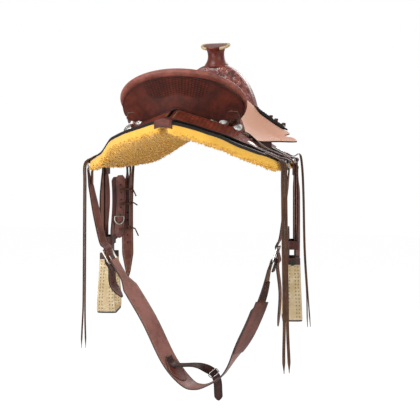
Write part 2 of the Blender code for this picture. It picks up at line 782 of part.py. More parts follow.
def make_horn():
    """The horn: a metal post through the fork's top, a leather sleeve, a cap and a laced rawhide rim."""
    base_z = FORK_TOP + COVER_LEATHER + FIT * 2
    place = Matrix.Translation((0, FORK_MIDDLE_Y, base_z)) @ Matrix.Rotation(HORN_TILT, 4, "X")
    neck_top = HORN_HEIGHT - HORN_CAP_DEPTH
    cap = [(0, HORN_HEIGHT), (HORN_CAP * 0.80, HORN_HEIGHT), (HORN_CAP * 0.95, HORN_HEIGHT - 0.0015),
           (HORN_CAP, HORN_HEIGHT - 0.5 * HORN_CAP_DEPTH), (HORN_CAP * 0.93, neck_top + 0.0004),
           (0, neck_top + FIT)]
    turned("horn_cap", cap, place, LEATHER, roughness=0.35)
    hole = HORN_NECK - HORN_SLEEVE
    sleeve = []
    for t in np.linspace(0, 1, 8):
        z = neck_top - neck_top * t
        flare = (HORN_CAP * 0.86 - HORN_NECK) * (1 - t) ** 5 + (HORN_BASE_FLARE - HORN_NECK) * t ** 4
        sleeve.append((HORN_NECK + flare, z))
    sleeve += [(HORN_BASE_FLARE + 0.001, -HORN_FOOT), (hole, -HORN_FOOT), (hole, neck_top)]
    wrap = turned("horn_wrap", sleeve, place, LEATHER, roughness=0.35, ring=True)
    saddle = loft("fork_clearance", fork_solid(FORK_ANGLES[4:-4], FIT * 4 + COVER_LEATHER), WOOD)
    cut_from(wrap, saddle)
    post = [(0, neck_top - FIT), (hole - FIT, neck_top - FIT), (hole - FIT, -HORN_ROOT), (0, -HORN_ROOT)]
    turned("horn_post", post, place, STEEL, steps=16, roughness=0.4, metallic=1.0)
    for name in ("tree_fork", "fork_cover"):
        bore = peg("bore_" + name, hole + FIT, 2 * (HORN_ROOT + FIT), place)
        cut_from(PARTS.objects[name], bore)
    radius = HORN_CAP + RIM_LACE + FIT
    angles = np.linspace(-math.pi / 2 + RIM_LACE_GAP / 2, 1.5 * math.pi - RIM_LACE_GAP / 2, 26)
    ring = [place @ Vector((radius * math.cos(a), radius * math.sin(a), HORN_HEIGHT - 0.5 * HORN_CAP_DEPTH))
            for a in angles]
    tube("horn_rim_lacing", ring, RIM_LACE, RAWHIDE, closed=False, metallic=0.0, roughness=0.7)


def rim_frame(angle):
    """The rim's point, its outward direction in the rim's plane and its tangent."""
    point = rim_point(angle)
    tangent = rim_point(angle + 1e-3) - rim_point(angle - 1e-3)
    tangent /= np.linalg.norm(tangent)
    middle = np.array((0.0, RIM_BACK + RIM_DEPTH * 0.75, RIM_MIDDLE_Z - 0.02))
    out = point - middle
    out[1] *= 0.25
    out -= tangent * (out @ tangent)
    out /= np.linalg.norm(out)
    return point, out, tangent


def base_plan(angle):
    """The foot of the cantle's back in plan."""
    a = angle * 0.80
    return CANTLE_BASE_HALF * math.sin(a), CANTLE_BASE_BACK + CANTLE_BASE_DEPTH * (1 - math.cos(a))


def inward_at(angle):
    """The level direction from the cantle's rim towards the seat."""
    out = np.array((math.sin(angle) / RIM_HALF, -math.cos(angle) / RIM_DEPTH, 0.0))
    return -out / np.linalg.norm(out)


def cantle_station(angle):
    """The wall's foot on the jockeys, its top under the roll, and how far the foot has left the jockeys."""
    x, y = base_plan(angle)
    foot = np.array((x, y, float(jockey_height(x, y)) + SEAT_LEATHER + 2 * LAYER))
    top = rim_point(angle) + inward_at(angle) * CANTLE_TOP_INSET
    top[2] -= CANTLE_TOP_DROP
    rise = float(eased((abs(angle) - math.radians(40)) / math.radians(48)))
    low = top + inward_at(angle) * 0.004
    low[2] -= 0.022
    return foot + (low - foot) * rise, top, rise


def make_cantle():
    """The board, its tooled back leather and the roll along the rim."""
    roll = []
    for a in np.linspace(-RIM_SWEEP, RIM_SWEEP, 23):
        rim, out, tangent = rim_frame(a)
        rear = np.cross(out, tangent)
        rear = rear if rear[1] < 0 else -rear
        major = out * math.cos(ROLL_LEAN) + rear * math.sin(ROLL_LEAN)
        minor = np.cross(major, tangent)
        fade = min(1.0, 0.62 + 0.38 * (1 - abs(a / RIM_SWEEP) ** 4) ** 0.5)
        centre = rim - major * ROLL_HALF_WIDTH * fade
        roll.append([centre + major * ROLL_HALF_WIDTH * fade * math.cos(t) + minor * ROLL_HALF_THICK * fade * math.sin(t)
                     for t in np.linspace(0, 2 * math.pi, 10, endpoint=False)])
    loft("cantle_roll", roll, LEATHER, roughness=0.4)
    back, board = [], []
    for a in np.linspace(-CANTLE_SWEEP, CANTLE_SWEEP, 21):
        foot, top, rise = cantle_station(a)
        inward = inward_at(a)
        rows = [foot + (top - foot) * t + inward * 0.006 * math.sin(math.pi * t) for t in np.linspace(0, 1,
                                                                                                      4)]
        skin = SEAT_LEATHER + 5 * LAYER
        back.append(rows + [p + inward * SEAT_LEATHER for p in rows[::-1]])
        behind = [p + inward * skin for p in rows]
        ahead = [p + inward * (skin + CANTLE_BOARD) for p in rows]
        keep = float(eased((abs(a) - math.radians(42)) / math.radians(14)))
        for face in (behind, ahead):
            drop = (face[0][2] - float(bar_top(face[0][0], face[0][1])) - 5 * LAYER) * (1 - keep)
            face[0] = face[0] - (top - foot) * drop / (top - foot)[2]
        behind[-1][2] -= 0.003
        ahead[-1][2] -= 0.014
        board.append(behind + ahead[::-1])
    loft("cantle_back", back, DARK_LEATHER)
    loft("tree_cantle", board, WOOD)


# Legs: hangers, stirrup leathers, fenders, hobbles and stirrups

def side_name(side):
    return "left" if side < 0 else "right"


def flip(side, points):
    """Points drawn for the off side, put on the given side."""
    return [(side * x, y, z) for x, y, z in points]


def on_back(x, y, above):
    return (x, y, float(back_height(x, y)) + above)


LEATHER_X = LAP_X + STRAP_LEATHER + LAYER
FENDER_X = LEATHER_X + STRAP_LEATHER + LAYER
BOLT_X = LEATHER_X - STRAP_LEATHER / 2 - FIT - BOLT_SLEEVE


def leg_frame(side):
    """The leg's width direction and its outward normal: its front edge is turned with the horse's side."""
    turn = LEG_TURN
    return np.array((math.sin(turn), math.cos(turn), 0.0)), side * np.array((math.cos(turn), -math.sin(turn),
                                                                             0.0))


def on_leg(side, points):
    """Points given by distance out from the bend's middle, distance forward and height."""
    along, out = leg_frame(side)
    return [tuple(np.array((side * LAP_X, LEG_Y, z)) + out * (u - LAP_X) + along * v) for u, v, z in points]


def make_hanger(side):
    """The leather over the skirt from the bar's edge to the bend where the leg hangs."""
    above = STRAP_LEATHER / 2 + LAYER * 2
    points = [on_back(0.140, LEG_Y, above), on_back(0.200, LEG_Y, above),
              on_back(0.255, LEG_Y, above + 0.001),
              (LAP_X - 0.020, LEG_Y, LAP_TOP + 0.013), (LAP_X - 0.002, LEG_Y, LAP_TOP + 0.002),
              (LAP_X, LEG_Y, LAP_TOP - 0.015), (LAP_X, LEG_Y, LAP_TOP - LAP_LENGTH)]
    path = smooth_path(flip(side, points), 16)
    half = LEATHER_WIDTH / 2
    length = float(np.linalg.norm(np.diff(path, axis=0), axis=1).sum())
    outline = [(0, -half), (length, -half), (length, half), (0, half)]
    share = eased((LAP_TOP + 0.030 - path[:, 2]) / 0.040)[:, None]
    sides = np.array((0, 1.0, 0)) * (1 - share) + leg_frame(side)[0] * share
    strap("leather_hanger_" + side_name(side), path, sides, LEATHER_WIDTH, STRAP_LEATHER, LEATHER,
          outline=outline)


def make_stirrup_leather(side):
    """The strap that runs down, round the stirrup bolt and back up to its tail."""
    turn = LEATHER_X - BOLT_X
    down = [(LEATHER_X, 0, z) for z in np.linspace(LAP_TOP - LEATHER_TOP_DROP, BOLT_Z, 7)]
    round_bolt = [(BOLT_X + turn * math.cos(a), 0, BOLT_Z + turn * math.sin(a))
                  for a in -np.radians(np.linspace(22.5, 157.5, 7))]
    inner = 2 * BOLT_X - LEATHER_X
    up = [(inner, 0, z) for z in np.linspace(BOLT_Z, LEATHER_TAIL, 4)]
    path = on_leg(side, down + round_bolt + up)
    run = np.concatenate([[0], np.cumsum(np.linalg.norm(np.diff(path, axis=0), axis=1))])
    holes = [0.060 + HOLE_STEP * n for n in range(5)]
    half = LEATHER_WIDTH / 2
    tip = 0.020
    outline = [(0, -half), (run[-1] - tip, -half), (run[-1] - 0.3 * tip, -0.62 * half), (run[-1], 0),
               (run[-1] - 0.3 * tip, 0.62 * half), (run[-1] - tip, half), (0, half)]
    strap("stirrup_leather_" + side_name(side), path, leg_frame(side)[0], LEATHER_WIDTH, STRAP_LEATHER,
          LEATHER,
          outline=outline, holes=holes)


def make_fender(side):
    """The wide leather outside the stirrup leather: narrow neck, full middle, narrow foot."""
    top = LAP_TOP - 0.003
    path = on_leg(side, [(FENDER_X, 0, z) for z in np.linspace(top, FENDER_END, 8)])
    length = top - FENDER_END
    half = FENDER_WIDTH / 2
    neck = FENDER_TOP_WIDTH / 2
    foot = LEATHER_WIDTH / 2
    front = [(0, neck), (0.10 * length, neck + 0.004), (0.24 * length, 0.80 * half),
             (0.38 * length, 0.97 * half),
             (0.54 * length, 0.95 * half), (0.74 * length, 0.66 * half), (0.90 * length, foot + 0.004),
             (length, foot)]
    rear = [(length, -foot), (0.90 * length, -foot - 0.005), (0.76 * length, -0.72 * half),
            (0.58 * length, -half), (0.40 * length, -half), (0.24 * length, -0.78 * half),
            (0.10 * length, -neck - 0.004), (0, -neck)]
    strap("fender_" + side_name(side), path, leg_frame(side)[0], FENDER_WIDTH, STRAP_LEATHER, ROUGH_OUT,
          outline=front + rear, roughness=0.85)


def loop_path(half_x, half_y, corner, steps=3):
    """A rounded rectangle round the origin, anticlockwise."""
    points = []
    for cx, cy, start in ((half_x, half_y, 0), (-half_x, half_y, 90), (-half_x, -half_y, 180),
                          (half_x, -half_y, 270)):
        mx, my = cx - math.copysign(corner, cx), cy - math.copysign(corner, cy)
        points += arc(mx, my, corner, start, start + 90, steps)
    return points


def make_hobble(side):
    """The strap that wraps the fender and both layers of stirrup leather above the stirrup."""
    inner = 2 * BOLT_X - LEATHER_X - STRAP_LEATHER / 2 - LAYER
    outer = FENDER_X + STRAP_LEATHER / 2 + LAYER
    half_x = (outer - inner) / 2
    half_y = LEATHER_WIDTH / 2 + 0.009
    middle = (outer + inner) / 2
    thick = 0.0030
    low, high = HOBBLE_Z - HOBBLE_WIDTH / 2, HOBBLE_Z + HOBBLE_WIDTH / 2
    inside = loop_path(half_x, half_y, 0.004)
    outside = loop_path(half_x + thick, half_y + thick, 0.007)
    rings = [on_leg(side, [(middle + ax, ay, low), (middle + bx, by, low), (middle + bx, by, high),
                           (middle + ax, ay, high)]) for (ax, ay), (bx, by) in zip(inside, outside)]
    loft("hobble_strap_" + side_name(side), rings, LEATHER, closed=True)


def stirrup_path():
    """The stirrup's middle line from the rear ear round the tread to the front ear, with its widths."""
    top = BOLT_Z + 0.014
    bottom = BOLT_Z - STIRRUP_HEIGHT
    side = [(STIRRUP_NECK, top), (STIRRUP_NECK, BOLT_Z - 0.012), (STIRRUP_NECK + 0.007, BOLT_Z - 0.045),
            (STIRRUP_TREAD - 0.007, BOLT_Z - 0.095), (STIRRUP_TREAD, bottom + 0.040)]
    corner = arc(STIRRUP_TREAD - 0.022, bottom + 0.022, 0.022, -12, -90, 5)
    half = side + corner
    rear = [(-y, z) for y, z in half]
    path = rear + [(0.0, bottom)] + half[::-1]
    drop = [(top - z) / (top - bottom) for y, z in path]
    widths = [STIRRUP_TOP_WIDTH + (STIRRUP_TREAD_WIDTH - STIRRUP_TOP_WIDTH) * d ** 1.2 for d in drop]
    return np.array([(0.0, y, z) for y, z in path]), widths


def bolt_place(side):
    """The bolt's axis, with the turned pieces' Z along it."""
    centre = on_leg(side, [(BOLT_X, 0, BOLT_Z)])[0]
    return (Matrix.Translation(centre) @ Matrix.Rotation(-LEG_TURN, 4, "Z")
            @ Matrix.Rotation(math.pi / 2, 4, "X"))


def make_stirrup(side):
    """A bell-bottomed stirrup, bent from one strip, with the bolt through its ears."""
    path, widths = stirrup_path()
    tangent, across = path_frames(path, np.tile((1.0, 0, 0), (len(path), 1)))
    normal = np.cross(tangent, across)
    rings = []
    for p, n, width in zip(path, normal, widths):
        half, wall = width / 2, STIRRUP_WALL / 2
        section = [(-half, -wall * 0.5), (-half * 0.94, -wall), (half * 0.94, -wall), (half, -wall * 0.5),
                   (half, wall * 0.5), (half * 0.94, wall), (-half * 0.94, wall), (-half, wall * 0.5)]
        rings.append(on_leg(side, [(BOLT_X + x, p[1] + n[1] * t, p[2] + n[2] * t) for x, t in section]))
    item = loft("stirrup_" + side_name(side), rings, RAWHIDE, roughness=0.6)
    cut_from(item, peg("bolt_hole_" + side_name(side), BOLT_RADIUS + FIT, 0.14, bolt_place(side)))


def make_bolt(side):
    """The bolt with its sleeve between the ears and a round head outside each."""
    ear_in = STIRRUP_NECK - STIRRUP_WALL / 2 - FIT
    ear_out = STIRRUP_NECK + STIRRUP_WALL / 2 + FIT
    head = ear_out + 0.004
    profile = [(0, head), (BOLT_RADIUS * 1.7, head), (BOLT_RADIUS * 1.7, ear_out), (BOLT_RADIUS, ear_out),
               (BOLT_RADIUS, ear_in), (BOLT_SLEEVE, ear_in)]
    profile = profile + [(r, -z) for r, z in reversed(profile)]
    turned("stirrup_bolt_" + side_name(side), profile, bolt_place(side), STEEL, steps=12, roughness=0.35,
           metallic=1.0)


# Rigging: leather folds, dees, billets, buckles, flank cinch

def make_rigging(side, place, x, y, z):
    """A leather strap on the skirt, folded round the bar of a dee."""
    above = STRAP_LEATHER / 2 + LAYER * 2
    turn = DEE_WIRE + FIT + STRAP_LEATHER / 2
    start = x - (0.052 if place == "rear" else 0.085)
    points = [on_back(start, y, above), on_back(x - 0.034, y, above), on_back(x - 0.018, y, above + 0.0012),
              (x - 0.004, y, z + turn)]
    path = list(smooth_path(points, 7))
    path += [(x + turn * math.cos(a), y, z + turn * math.sin(a)) for a in np.radians((60, 20, -20, -60, -100,
                                                                                      -140))]
    path = flip(side, path)
    run = float(np.linalg.norm(np.diff(path, axis=0), axis=1).sum())
    half = DEE_FOLD / 2
    neck = run - 0.040
    outline = [(0, -1.4 * half), (0.6 * neck, -1.3 * half), (neck, -half), (run, -half), (run, half),
               (neck, half),
               (0.6 * neck, 1.3 * half), (0, 1.4 * half)]
    strap(f"{place}_rigging_{side_name(side)}", path, (0, 1, 0), DEE_FOLD, STRAP_LEATHER, DARK_LEATHER,
          outline=outline)


def make_dee(side, place, x, y, z):
    bow = [(side * x, y + DEE_RADIUS * math.cos(a), z + DEE_RADIUS * math.sin(a))
           for a in np.linspace(-math.radians(6), -math.pi + math.radians(6), 13)]
    bar = [(side * x, y + k * DEE_RADIUS, z) for k in (-0.93, 0.93)]
    tube(f"{place}_dee_{side_name(side)}", bow + bar, DEE_WIRE, STEEL)


def eye_path(x, z, thickness, inner_end):
    """A strap's start: up the inner side of a dee's bow, over it and down the outer side, in x and z."""
    slack = (BILLET_EYE / 2) ** 2 / (2 * DEE_RADIUS) + FIT
    turn = DEE_WIRE + slack + thickness / 2
    bow = z - DEE_RADIUS
    inner = [(x - turn, inner_end), (x - turn, 0.5 * (bow + inner_end)), (x - turn, bow - 0.004)]
    over = [(x + turn * math.cos(a), bow + turn * math.sin(a)) for a in np.radians((160, 130, 100, 70, 40,
                                                                                    10))]
    return inner + over


def twist(angle):
    """The width's direction of a hanging strap, turned from fore-and-aft towards the off side."""
    return np.array((math.sin(angle), math.cos(angle), 0.0))


def eye_outline(length, eye, width, shoulder, full, tip):
    """A strap that is narrow where it passes round the dee, then full width to a pointed tip."""
    e, h = eye / 2, width / 2
    upper = [(0, e), (shoulder, e), (full, h), (length - tip, h), (length - 0.35 * tip, 0.6 * h)]
    return [(s, -t) for s, t in upper] + [(length, 0.0)] + upper[::-1]


def buckle_place(side):
    return (LEFT_BUCKLE_X, LEFT_BUCKLE_Z) if side < 0 else (RIGHT_BUCKLE_X, RIGHT_BUCKLE_Z)


def buckle_frame(side):
    """A flank buckle's lower bar, its direction up the strap, across the strap and outwards."""
    x, z = buckle_place(side)
    lean = math.radians(30 if side < 0 else -18)
    turn = math.radians(16 if side < 0 else 0)
    up = np.array((-math.sin(lean), 0.0, math.cos(lean)))
    across = twist(turn)
    across = across - up * (across @ up)
    across /= np.linalg.norm(across)
    out = np.cross(across, up)
    out = out if out[0] * side > 0 else -out
    return np.array((x, REAR_DEE_Y, z)), up, across, out


TAB_TURN = BUCKLE_WIRE + 2.5 * FIT + CINCH_LEATHER / 2
OVER_TAB = TAB_TURN + CINCH_LEATHER / 2 + 6 * LAYER + BILLET_LEATHER / 2
UNDER_BAR = BUCKLE_WIRE + 3 * FIT + BILLET_LEATHER / 2
TONGUE_HOLD = BUCKLE_WIRE + FIT + TONGUE_WIRE


def tongue_line(rise):
    """How far out from the bars' plane the tongue is, by its height above the lower bar."""
    return TONGUE_HOLD * (0.5 + 0.5 * np.clip((rise - 0.004) / (BUCKLE_LENGTH - 0.004), 0.0, 1.0))


def make_flank_billet(side):
    """A billet that hangs from the rear dee, under the buckle's upper bar and out over the lower one."""
    bar, up, across, out = buckle_frame(side)
    roller = bar + up * BUCKLE_LENGTH
    entry = roller - out * UNDER_BAR
    leave = bar + out * OVER_TAB
    eye = eye_path(REAR_DEE_X, REAR_DEE_Z, BILLET_LEATHER, -0.105)
    tail = [(0.010, -0.060), (0.040, -0.100)] if side < 0 else [(0.004, -0.090), (-0.002, -0.185)]
    fall = [(side * (REAR_DEE_X + 0.003), REAR_DEE_Y, -0.084), entry + up * 0.040, entry + up * 0.008,
            entry - up * 0.004, leave + up * 0.008, leave - up * 0.012]
    fall += [leave + np.array((dx, 0, dz)) for dx, dz in tail]
    lower = smooth_path([(side * eye[-1][0], REAR_DEE_Y, eye[-1][1])] + [tuple(p) for p in fall], 30)
    path = np.array([(side * a, REAR_DEE_Y, b) for a, b in eye] + [tuple(p) for p in lower[1:]])
    share = eased((-0.09 - path[:, 2]) / 0.12)[:, None]
    sides = np.array((0.0, 1.0, 0.0)) * (1 - share) + across * share
    run = np.concatenate([[0], np.cumsum(np.linalg.norm(np.diff(path, axis=0), axis=1))])
    rise, off = (path - bar) @ up, (path - bar) @ out
    gap = off - tongue_line(rise)
    at = max(k for k in range(len(eye), len(path) - 1) if gap[k] < 0 <= gap[k + 1])
    pinned = run[at] + (run[at + 1] - run[at]) * -gap[at] / (gap[at + 1] - gap[at])
    holes = [pinned + HOLE_STEP * n for n in (-2, -1, 1, 2, 3, 4,
                                              5) if pinned + HOLE_STEP * n < run[-1] - 0.025]
    outline = eye_outline(run[-1], BILLET_EYE, BILLET_WIDTH, run[len(eye)] + 0.010, run[len(eye)] + 0.050,
                          0.030)
    strap("flank_billet_" + side_name(side), path, sides, BILLET_WIDTH, BILLET_LEATHER, LEATHER,
          outline=outline, holes=holes, hole_radius=HOLE_RADIUS,
          slots=[(pinned - PIN_SLOT, pinned + PIN_SLOT, PIN_SLOT_HALF)])


def tab_fold(side):
    """The end of the cinch: up inside the buckle's lower bar, round it and down outside, in order."""
    bar, up, across, out = buckle_frame(side)
    points = [bar - out * TAB_TURN - up * 0.030, bar - out * TAB_TURN - up * 0.014]
    points += [bar + (-out * math.cos(a) + up * math.sin(a)) * TAB_TURN for a in np.radians((0, 36, 72, 108,
                                                                                             144, 180))]
    return points + [bar + out * TAB_TURN - up * 0.014, bar + out * TAB_TURN - up * 0.030]


def cinch_points():
    """The flank cinch's middle line from the near side buckle to the off side one, as it hangs."""
    lx, lz, rx, rz = LEFT_BUCKLE_X, LEFT_BUCKLE_Z, RIGHT_BUCKLE_X, RIGHT_BUCKLE_Z
    bx, bz = CINCH_BOTTOM_X, CINCH_BOTTOM_Z
    left, right = tab_fold(-1)[0], tab_fold(1)[0]
    middle = [(lx + 0.060, lz - 0.084), (lx + 0.117, lz - 0.174), (lx + 0.178, lz - 0.290),
              (bx - 0.040, bz + 0.012), (bx, bz), (bx + 0.040, bz + 0.016), (rx - 0.150, rz - 0.336),
              (rx - 0.112, rz - 0.274), (rx - 0.070, rz - 0.195), (rx - 0.034, rz - 0.105)]
    return [tuple(left)] + [(x, REAR_DEE_Y, z) for x, z in middle] + [tuple(right)]


def cinch_path():
    """The whole cinch: a folded tab, the wide band and the other folded tab, with width directions."""
    body = smooth_path(cinch_points(), 30)
    share = np.linspace(0, 1, len(body))
    angle = np.interp(share, (0, 0.1, 0.40, 0.52, 0.66, 0.80, 0.94, 1.0),
                      np.radians((16, 22, 22, 6, -6, 12, 3, 0)))
    left, right = tab_fold(-1), tab_fold(1)
    path = np.array([tuple(p) for p in left[:0:-1]] + [tuple(p) for p in body] + [tuple(p) for p in right[1:]])
    ends = [buckle_frame(-1)[2]] * (len(left) - 1), [buckle_frame(1)[2]] * (len(right) - 1)
    sides = np.array(ends[0] + [twist(a) for a in angle] + ends[1])
    return path, sides, len(left) - 1, len(body)


def make_flank_cinch():
    """The wide strap under the belly, its narrow ends folded round the buckles' lower bars."""
    path, sides, first, count = cinch_path()
    run = np.concatenate([[0], np.cumsum(np.linalg.norm(np.diff(path, axis=0), axis=1))])
    tab, half = CINCH_TAB / 2, CINCH_WIDTH / 2
    near, far = run[first], run[first + count - 1]
    top = [(0, tab), (near + 0.030, tab), (near + 0.090, half), (far - 0.120, half), (far - 0.075, tab),
           (run[-1], tab)]
    outline = [(s, -t) for s, t in top] + top[::-1]
    bars = [run[4] + (run[5] - run[4]) * 0.5, run[-5] - (run[-5] - run[-6]) * 0.5]
    strap("flank_cinch", path, sides, CINCH_WIDTH, CINCH_LEATHER, LEATHER, outline=outline,
          slots=[(s - TAB_SLOT, s + TAB_SLOT, TAB_SLOT_HALF) for s in bars])


def make_flank_buckle(side):
    """A roller buckle's frame, in the plane of the strap that it closes, and its tongue."""
    bar, up, across, out = buckle_frame(side)
    corners = loop_path(BUCKLE_HALF_WIDTH, BUCKLE_LENGTH / 2, 0.006)
    ring = [bar + across * u + up * (v + BUCKLE_LENGTH / 2) for u, v in corners]
    tube("flank_buckle_" + side_name(side), ring, BUCKLE_WIRE, STEEL)
    bend = [bar + (out * math.cos(a) + up * math.sin(a)) * TONGUE_HOLD for a in np.radians((165, 130, 95,
                                                                                            62))]
    tip = BUCKLE_LENGTH + 0.004
    rest = [bar + up * tip + out * float(tongue_line(tip))]
    tube("buckle_tongue_" + side_name(side), bend + rest, TONGUE_WIRE, STEEL, closed=False, rounds=1)


def connector_start():
    """Where the connector lies on the band's inner face: two points and the band's width direction."""
    path, sides, first, count = cinch_path()
    tangent, side = path_frames(path, sides)
    inward = np.cross(tangent, side)
    inward *= np.sign(inward[:, 2])[:, None]
    off = CINCH_LEATHER / 2 + STRAP_LEATHER / 2 + LAYER * 5
    at = first + int(0.36 * count)
    return [path[k] + inward[k] * off for k in (at, at + 1)], side[at]


def make_connector():
    """The strap that ties the flank cinch to a front cinch: along the band's inner face, then down ahead of it."""
    start, side = connector_start()
    bx, by, bz = CINCH_BOTTOM_X, REAR_DEE_Y, CINCH_BOTTOM_Z
    points = [tuple(p) for p in start] + [(bx - 0.020, by + 0.010, bz + 0.062),
                                          (bx + 0.010, by + 0.024, bz + 0.052),
                      (bx + 0.032, by + 0.044, bz + 0.034), (bx + 0.040, by + 0.058, bz + 0.006),
                      (bx + 0.042, by + 0.060, bz - 0.028), (bx + 0.044, by + 0.058, bz - 0.052)]
    line = smooth_path(points, 18)
    share = eased((np.linspace(0, 1, 18) - 0.25) / 0.55)[:, None]
    widths = side * (1 - share) + np.array((0.95, 0.30, 0.0)) * share
    run = float(np.linalg.norm(np.diff(line, axis=0), axis=1).sum())
    strap("cinch_connector", line, widths, CONNECTOR_WIDTH, STRAP_LEATHER, DARK_LEATHER,
          holes=[0.30 * run + 0.018 * n for n in range(3)], hole_radius=0.0024)


def make_front_strap(side):
    """The latigo (near side) or the off billet, hung from the front dee with both its layers."""
    name, end, inner_end = (("latigo", LATIGO_END, -0.250) if side < 0 else ("off_billet", OFF_BILLET_END,
                                                                             -0.300))
    eye = eye_path(FRONT_DEE_X, FRONT_DEE_Z, BILLET_LEATHER, inner_end)
    fall = [(FRONT_DEE_X + 0.0045, -0.085), (FRONT_DEE_X + 0.0045, 0.5 * (end - 0.08)),
            (FRONT_DEE_X + 0.002, end)]
    lower = smooth_path([(eye[-1][0], 0, eye[-1][1])] + [(a, 0, b) for a, b in fall], 12)
    inner = smooth_path([(eye[0][0] - 0.0, 0, eye[0][1]), (eye[0][0], 0, 0.5 * (eye[0][1] + eye[2][1])),
                         (eye[2][0], 0, eye[2][1])], 6)
    path = [(side * p[0], FRONT_DEE_Y, p[2]) for p in inner] + [(side * a, FRONT_DEE_Y, b) for a,
                                                                b in eye[3:]]
    path += [(side * p[0], FRONT_DEE_Y, p[2]) for p in lower[1:]]
    run = np.concatenate([[0], np.cumsum(np.linalg.norm(np.diff(path, axis=0), axis=1))])
    top = run[len(inner) - 1]
    h, e = LATIGO_WIDTH / 2, BILLET_EYE / 2
    tip = 0.085 if side < 0 else 0.030
    upper = [(0, h), (top - 0.060, h), (top - 0.020, e), (top + 0.042, e), (top + 0.085, h),
             (run[-1] - tip, h),
             (run[-1] - 0.3 * tip, 0.45 * h)]
    outline = [(s, -t) for s, t in upper] + [(run[-1], 0.0)] + upper[::-1]
    holes = [run[-1] - 0.115 - HOLE_STEP * n for n in range(5)]
    strap(f"{name}_{side_name(side)}", path, (0, 1, 0), LATIGO_WIDTH, BILLET_LEATHER, LEATHER,
          outline=outline,
          holes=holes, hole_radius=HOLE_RADIUS)


# Strings and conchos

def string_outline(length, slit, width):
    """A long narrow lace, split into two pointed tails over its last stretch."""
    h, gap = width / 2, 0.0008
    return [(0, -h), (length - slit, -h), (length - 0.030, -h), (length, -0.55 * h), (length - 0.028, -gap),
            (length - slit, -gap * 0.5), (length - slit, gap * 0.5), (length - 0.045, gap),
            (length - 0.018, 0.55 * h), (length - 0.045, h), (length - slit, h), (0, h)]


def make_string(name, points, slit, width=STRING_WIDTH, count=30):
    path = smooth_path(points, count)
    tangent = np.gradient(path, axis=0)
    steep = np.abs(tangent[:, 2]) / np.linalg.norm(tangent, axis=1)
    flat = eased((steep - 0.5) / 0.4)[:, None]
    sides = np.array((0.25, 0.97, 0.0)) * flat + np.array((0.0, 1.0, 0.0)) * (1 - flat)
    length = float(np.linalg.norm(np.diff(path, axis=0), axis=1).sum())
    strap(name, path, sides, width, STRING_LEATHER, LEATHER, outline=string_outline(length, slit, width))


def rear_string_points(side):
    start = on_back(0.252, STRING_REAR_Y, STRING_LEATHER / 2 + LAYER)
    x, y, end = STRING_REAR_X, STRING_REAR_Y, STRING_REAR_END[side]
    points = [start, on_back(0.280, y - 0.002, STRING_LEATHER / 2 + LAYER * 2), (x, y - 0.003, -0.042),
              (x + 0.002, y - 0.002, -0.110),
              (x + 0.004, y, -0.300), (x + 0.006, y + 0.002, -0.460), (x + 0.008, y + 0.002, end)]
    return flip(side, points)


def front_string_points(side):
    x, y, end = STRING_FRONT_X, STRING_FRONT_Y, STRING_FRONT_END[side]
    start = (0.240, y, float(front_jockey_height(np.array(0.240), y)) + SEAT_LEATHER + STRING_LEATHER + 0.001)
    points = [start, (0.264, y, start[2] - 0.011), (x - 0.008, y, -0.012), (x, y, -0.060),
              (x + 0.004, y, -0.150),
              (x + 0.008, y, 0.5 * end - 0.04), (x + 0.018, y, 0.85 * end), (x + 0.022, y, end)]
    return flip(side, points)


def make_concho(name, x, y, height, above):
    """A domed silver disc on its leather."""
    point, normal = surface_frame(height, np.array([float(x)]), np.array([float(y)]))
    turn = Vector((0, 0, 1)).rotation_difference(Vector(normal[0])).to_matrix().to_4x4()
    place = Matrix.Translation(Vector(point[0] + normal[0] * above)) @ turn
    r, d = CONCHO_RADIUS, CONCHO_DEPTH
    profile = [(0, d), (0.5 * r, 0.88 * d), (0.88 * r, 0.4 * d), (r, 0.2 * d), (r, 0), (0, 0)]
    turned(name, profile, place, STEEL, steps=14, roughness=0.3, metallic=1.0)


def hang(name, point, nodes):
    """An empty on a joint's axis that carries the pieces turning about it."""
    pivot = bpy.data.objects.new("pivot_" + name, None)
    pivot.empty_display_size = 0.02
    pivot.location = point
    PARTS.objects.link(pivot)
    for node in nodes:
        piece = PARTS.objects[node]
        piece.parent = pivot
        piece.matrix_parent_inverse = Matrix.Translation(-Vector(point))


def hang_on_joints():
    """Every moving piece under an empty on its axis: legs, stirrups, dees, their straps and the flank cinch."""
    flank = ["flank_cinch"]
    for side in (-1, 1):
        end = side_name(side)
        front = "latigo_left" if side < 0 else "off_billet_right"
        hang("stirrup_" + end, on_leg(side, [(BOLT_X, 0, BOLT_Z)])[0], ["stirrup_" + end])
        hang("leg_" + end, on_leg(side, [(LEATHER_X, 0, LEG_SWING_Z)])[0],
             ["stirrup_leather_" + end, "fender_" + end, "hobble_strap_" + end, "stirrup_bolt_" + end,
              "pivot_stirrup_" + end])
        hang(front, (side * FRONT_DEE_X, FRONT_DEE_Y, FRONT_DEE_Z - DEE_RADIUS), [front])
        hang("front_dee_" + end, (side * FRONT_DEE_X, FRONT_DEE_Y, FRONT_DEE_Z),
             ["front_dee_" + end, "pivot_" + front])
        flank += [name + end for name in ("flank_billet_", "flank_buckle_", "buckle_tongue_")]
    hang("connector", tuple(connector_start()[0][0]), ["cinch_connector"])
    hang("flank_set", (0, REAR_DEE_Y, REAR_DEE_Z), flank + ["pivot_connector"])


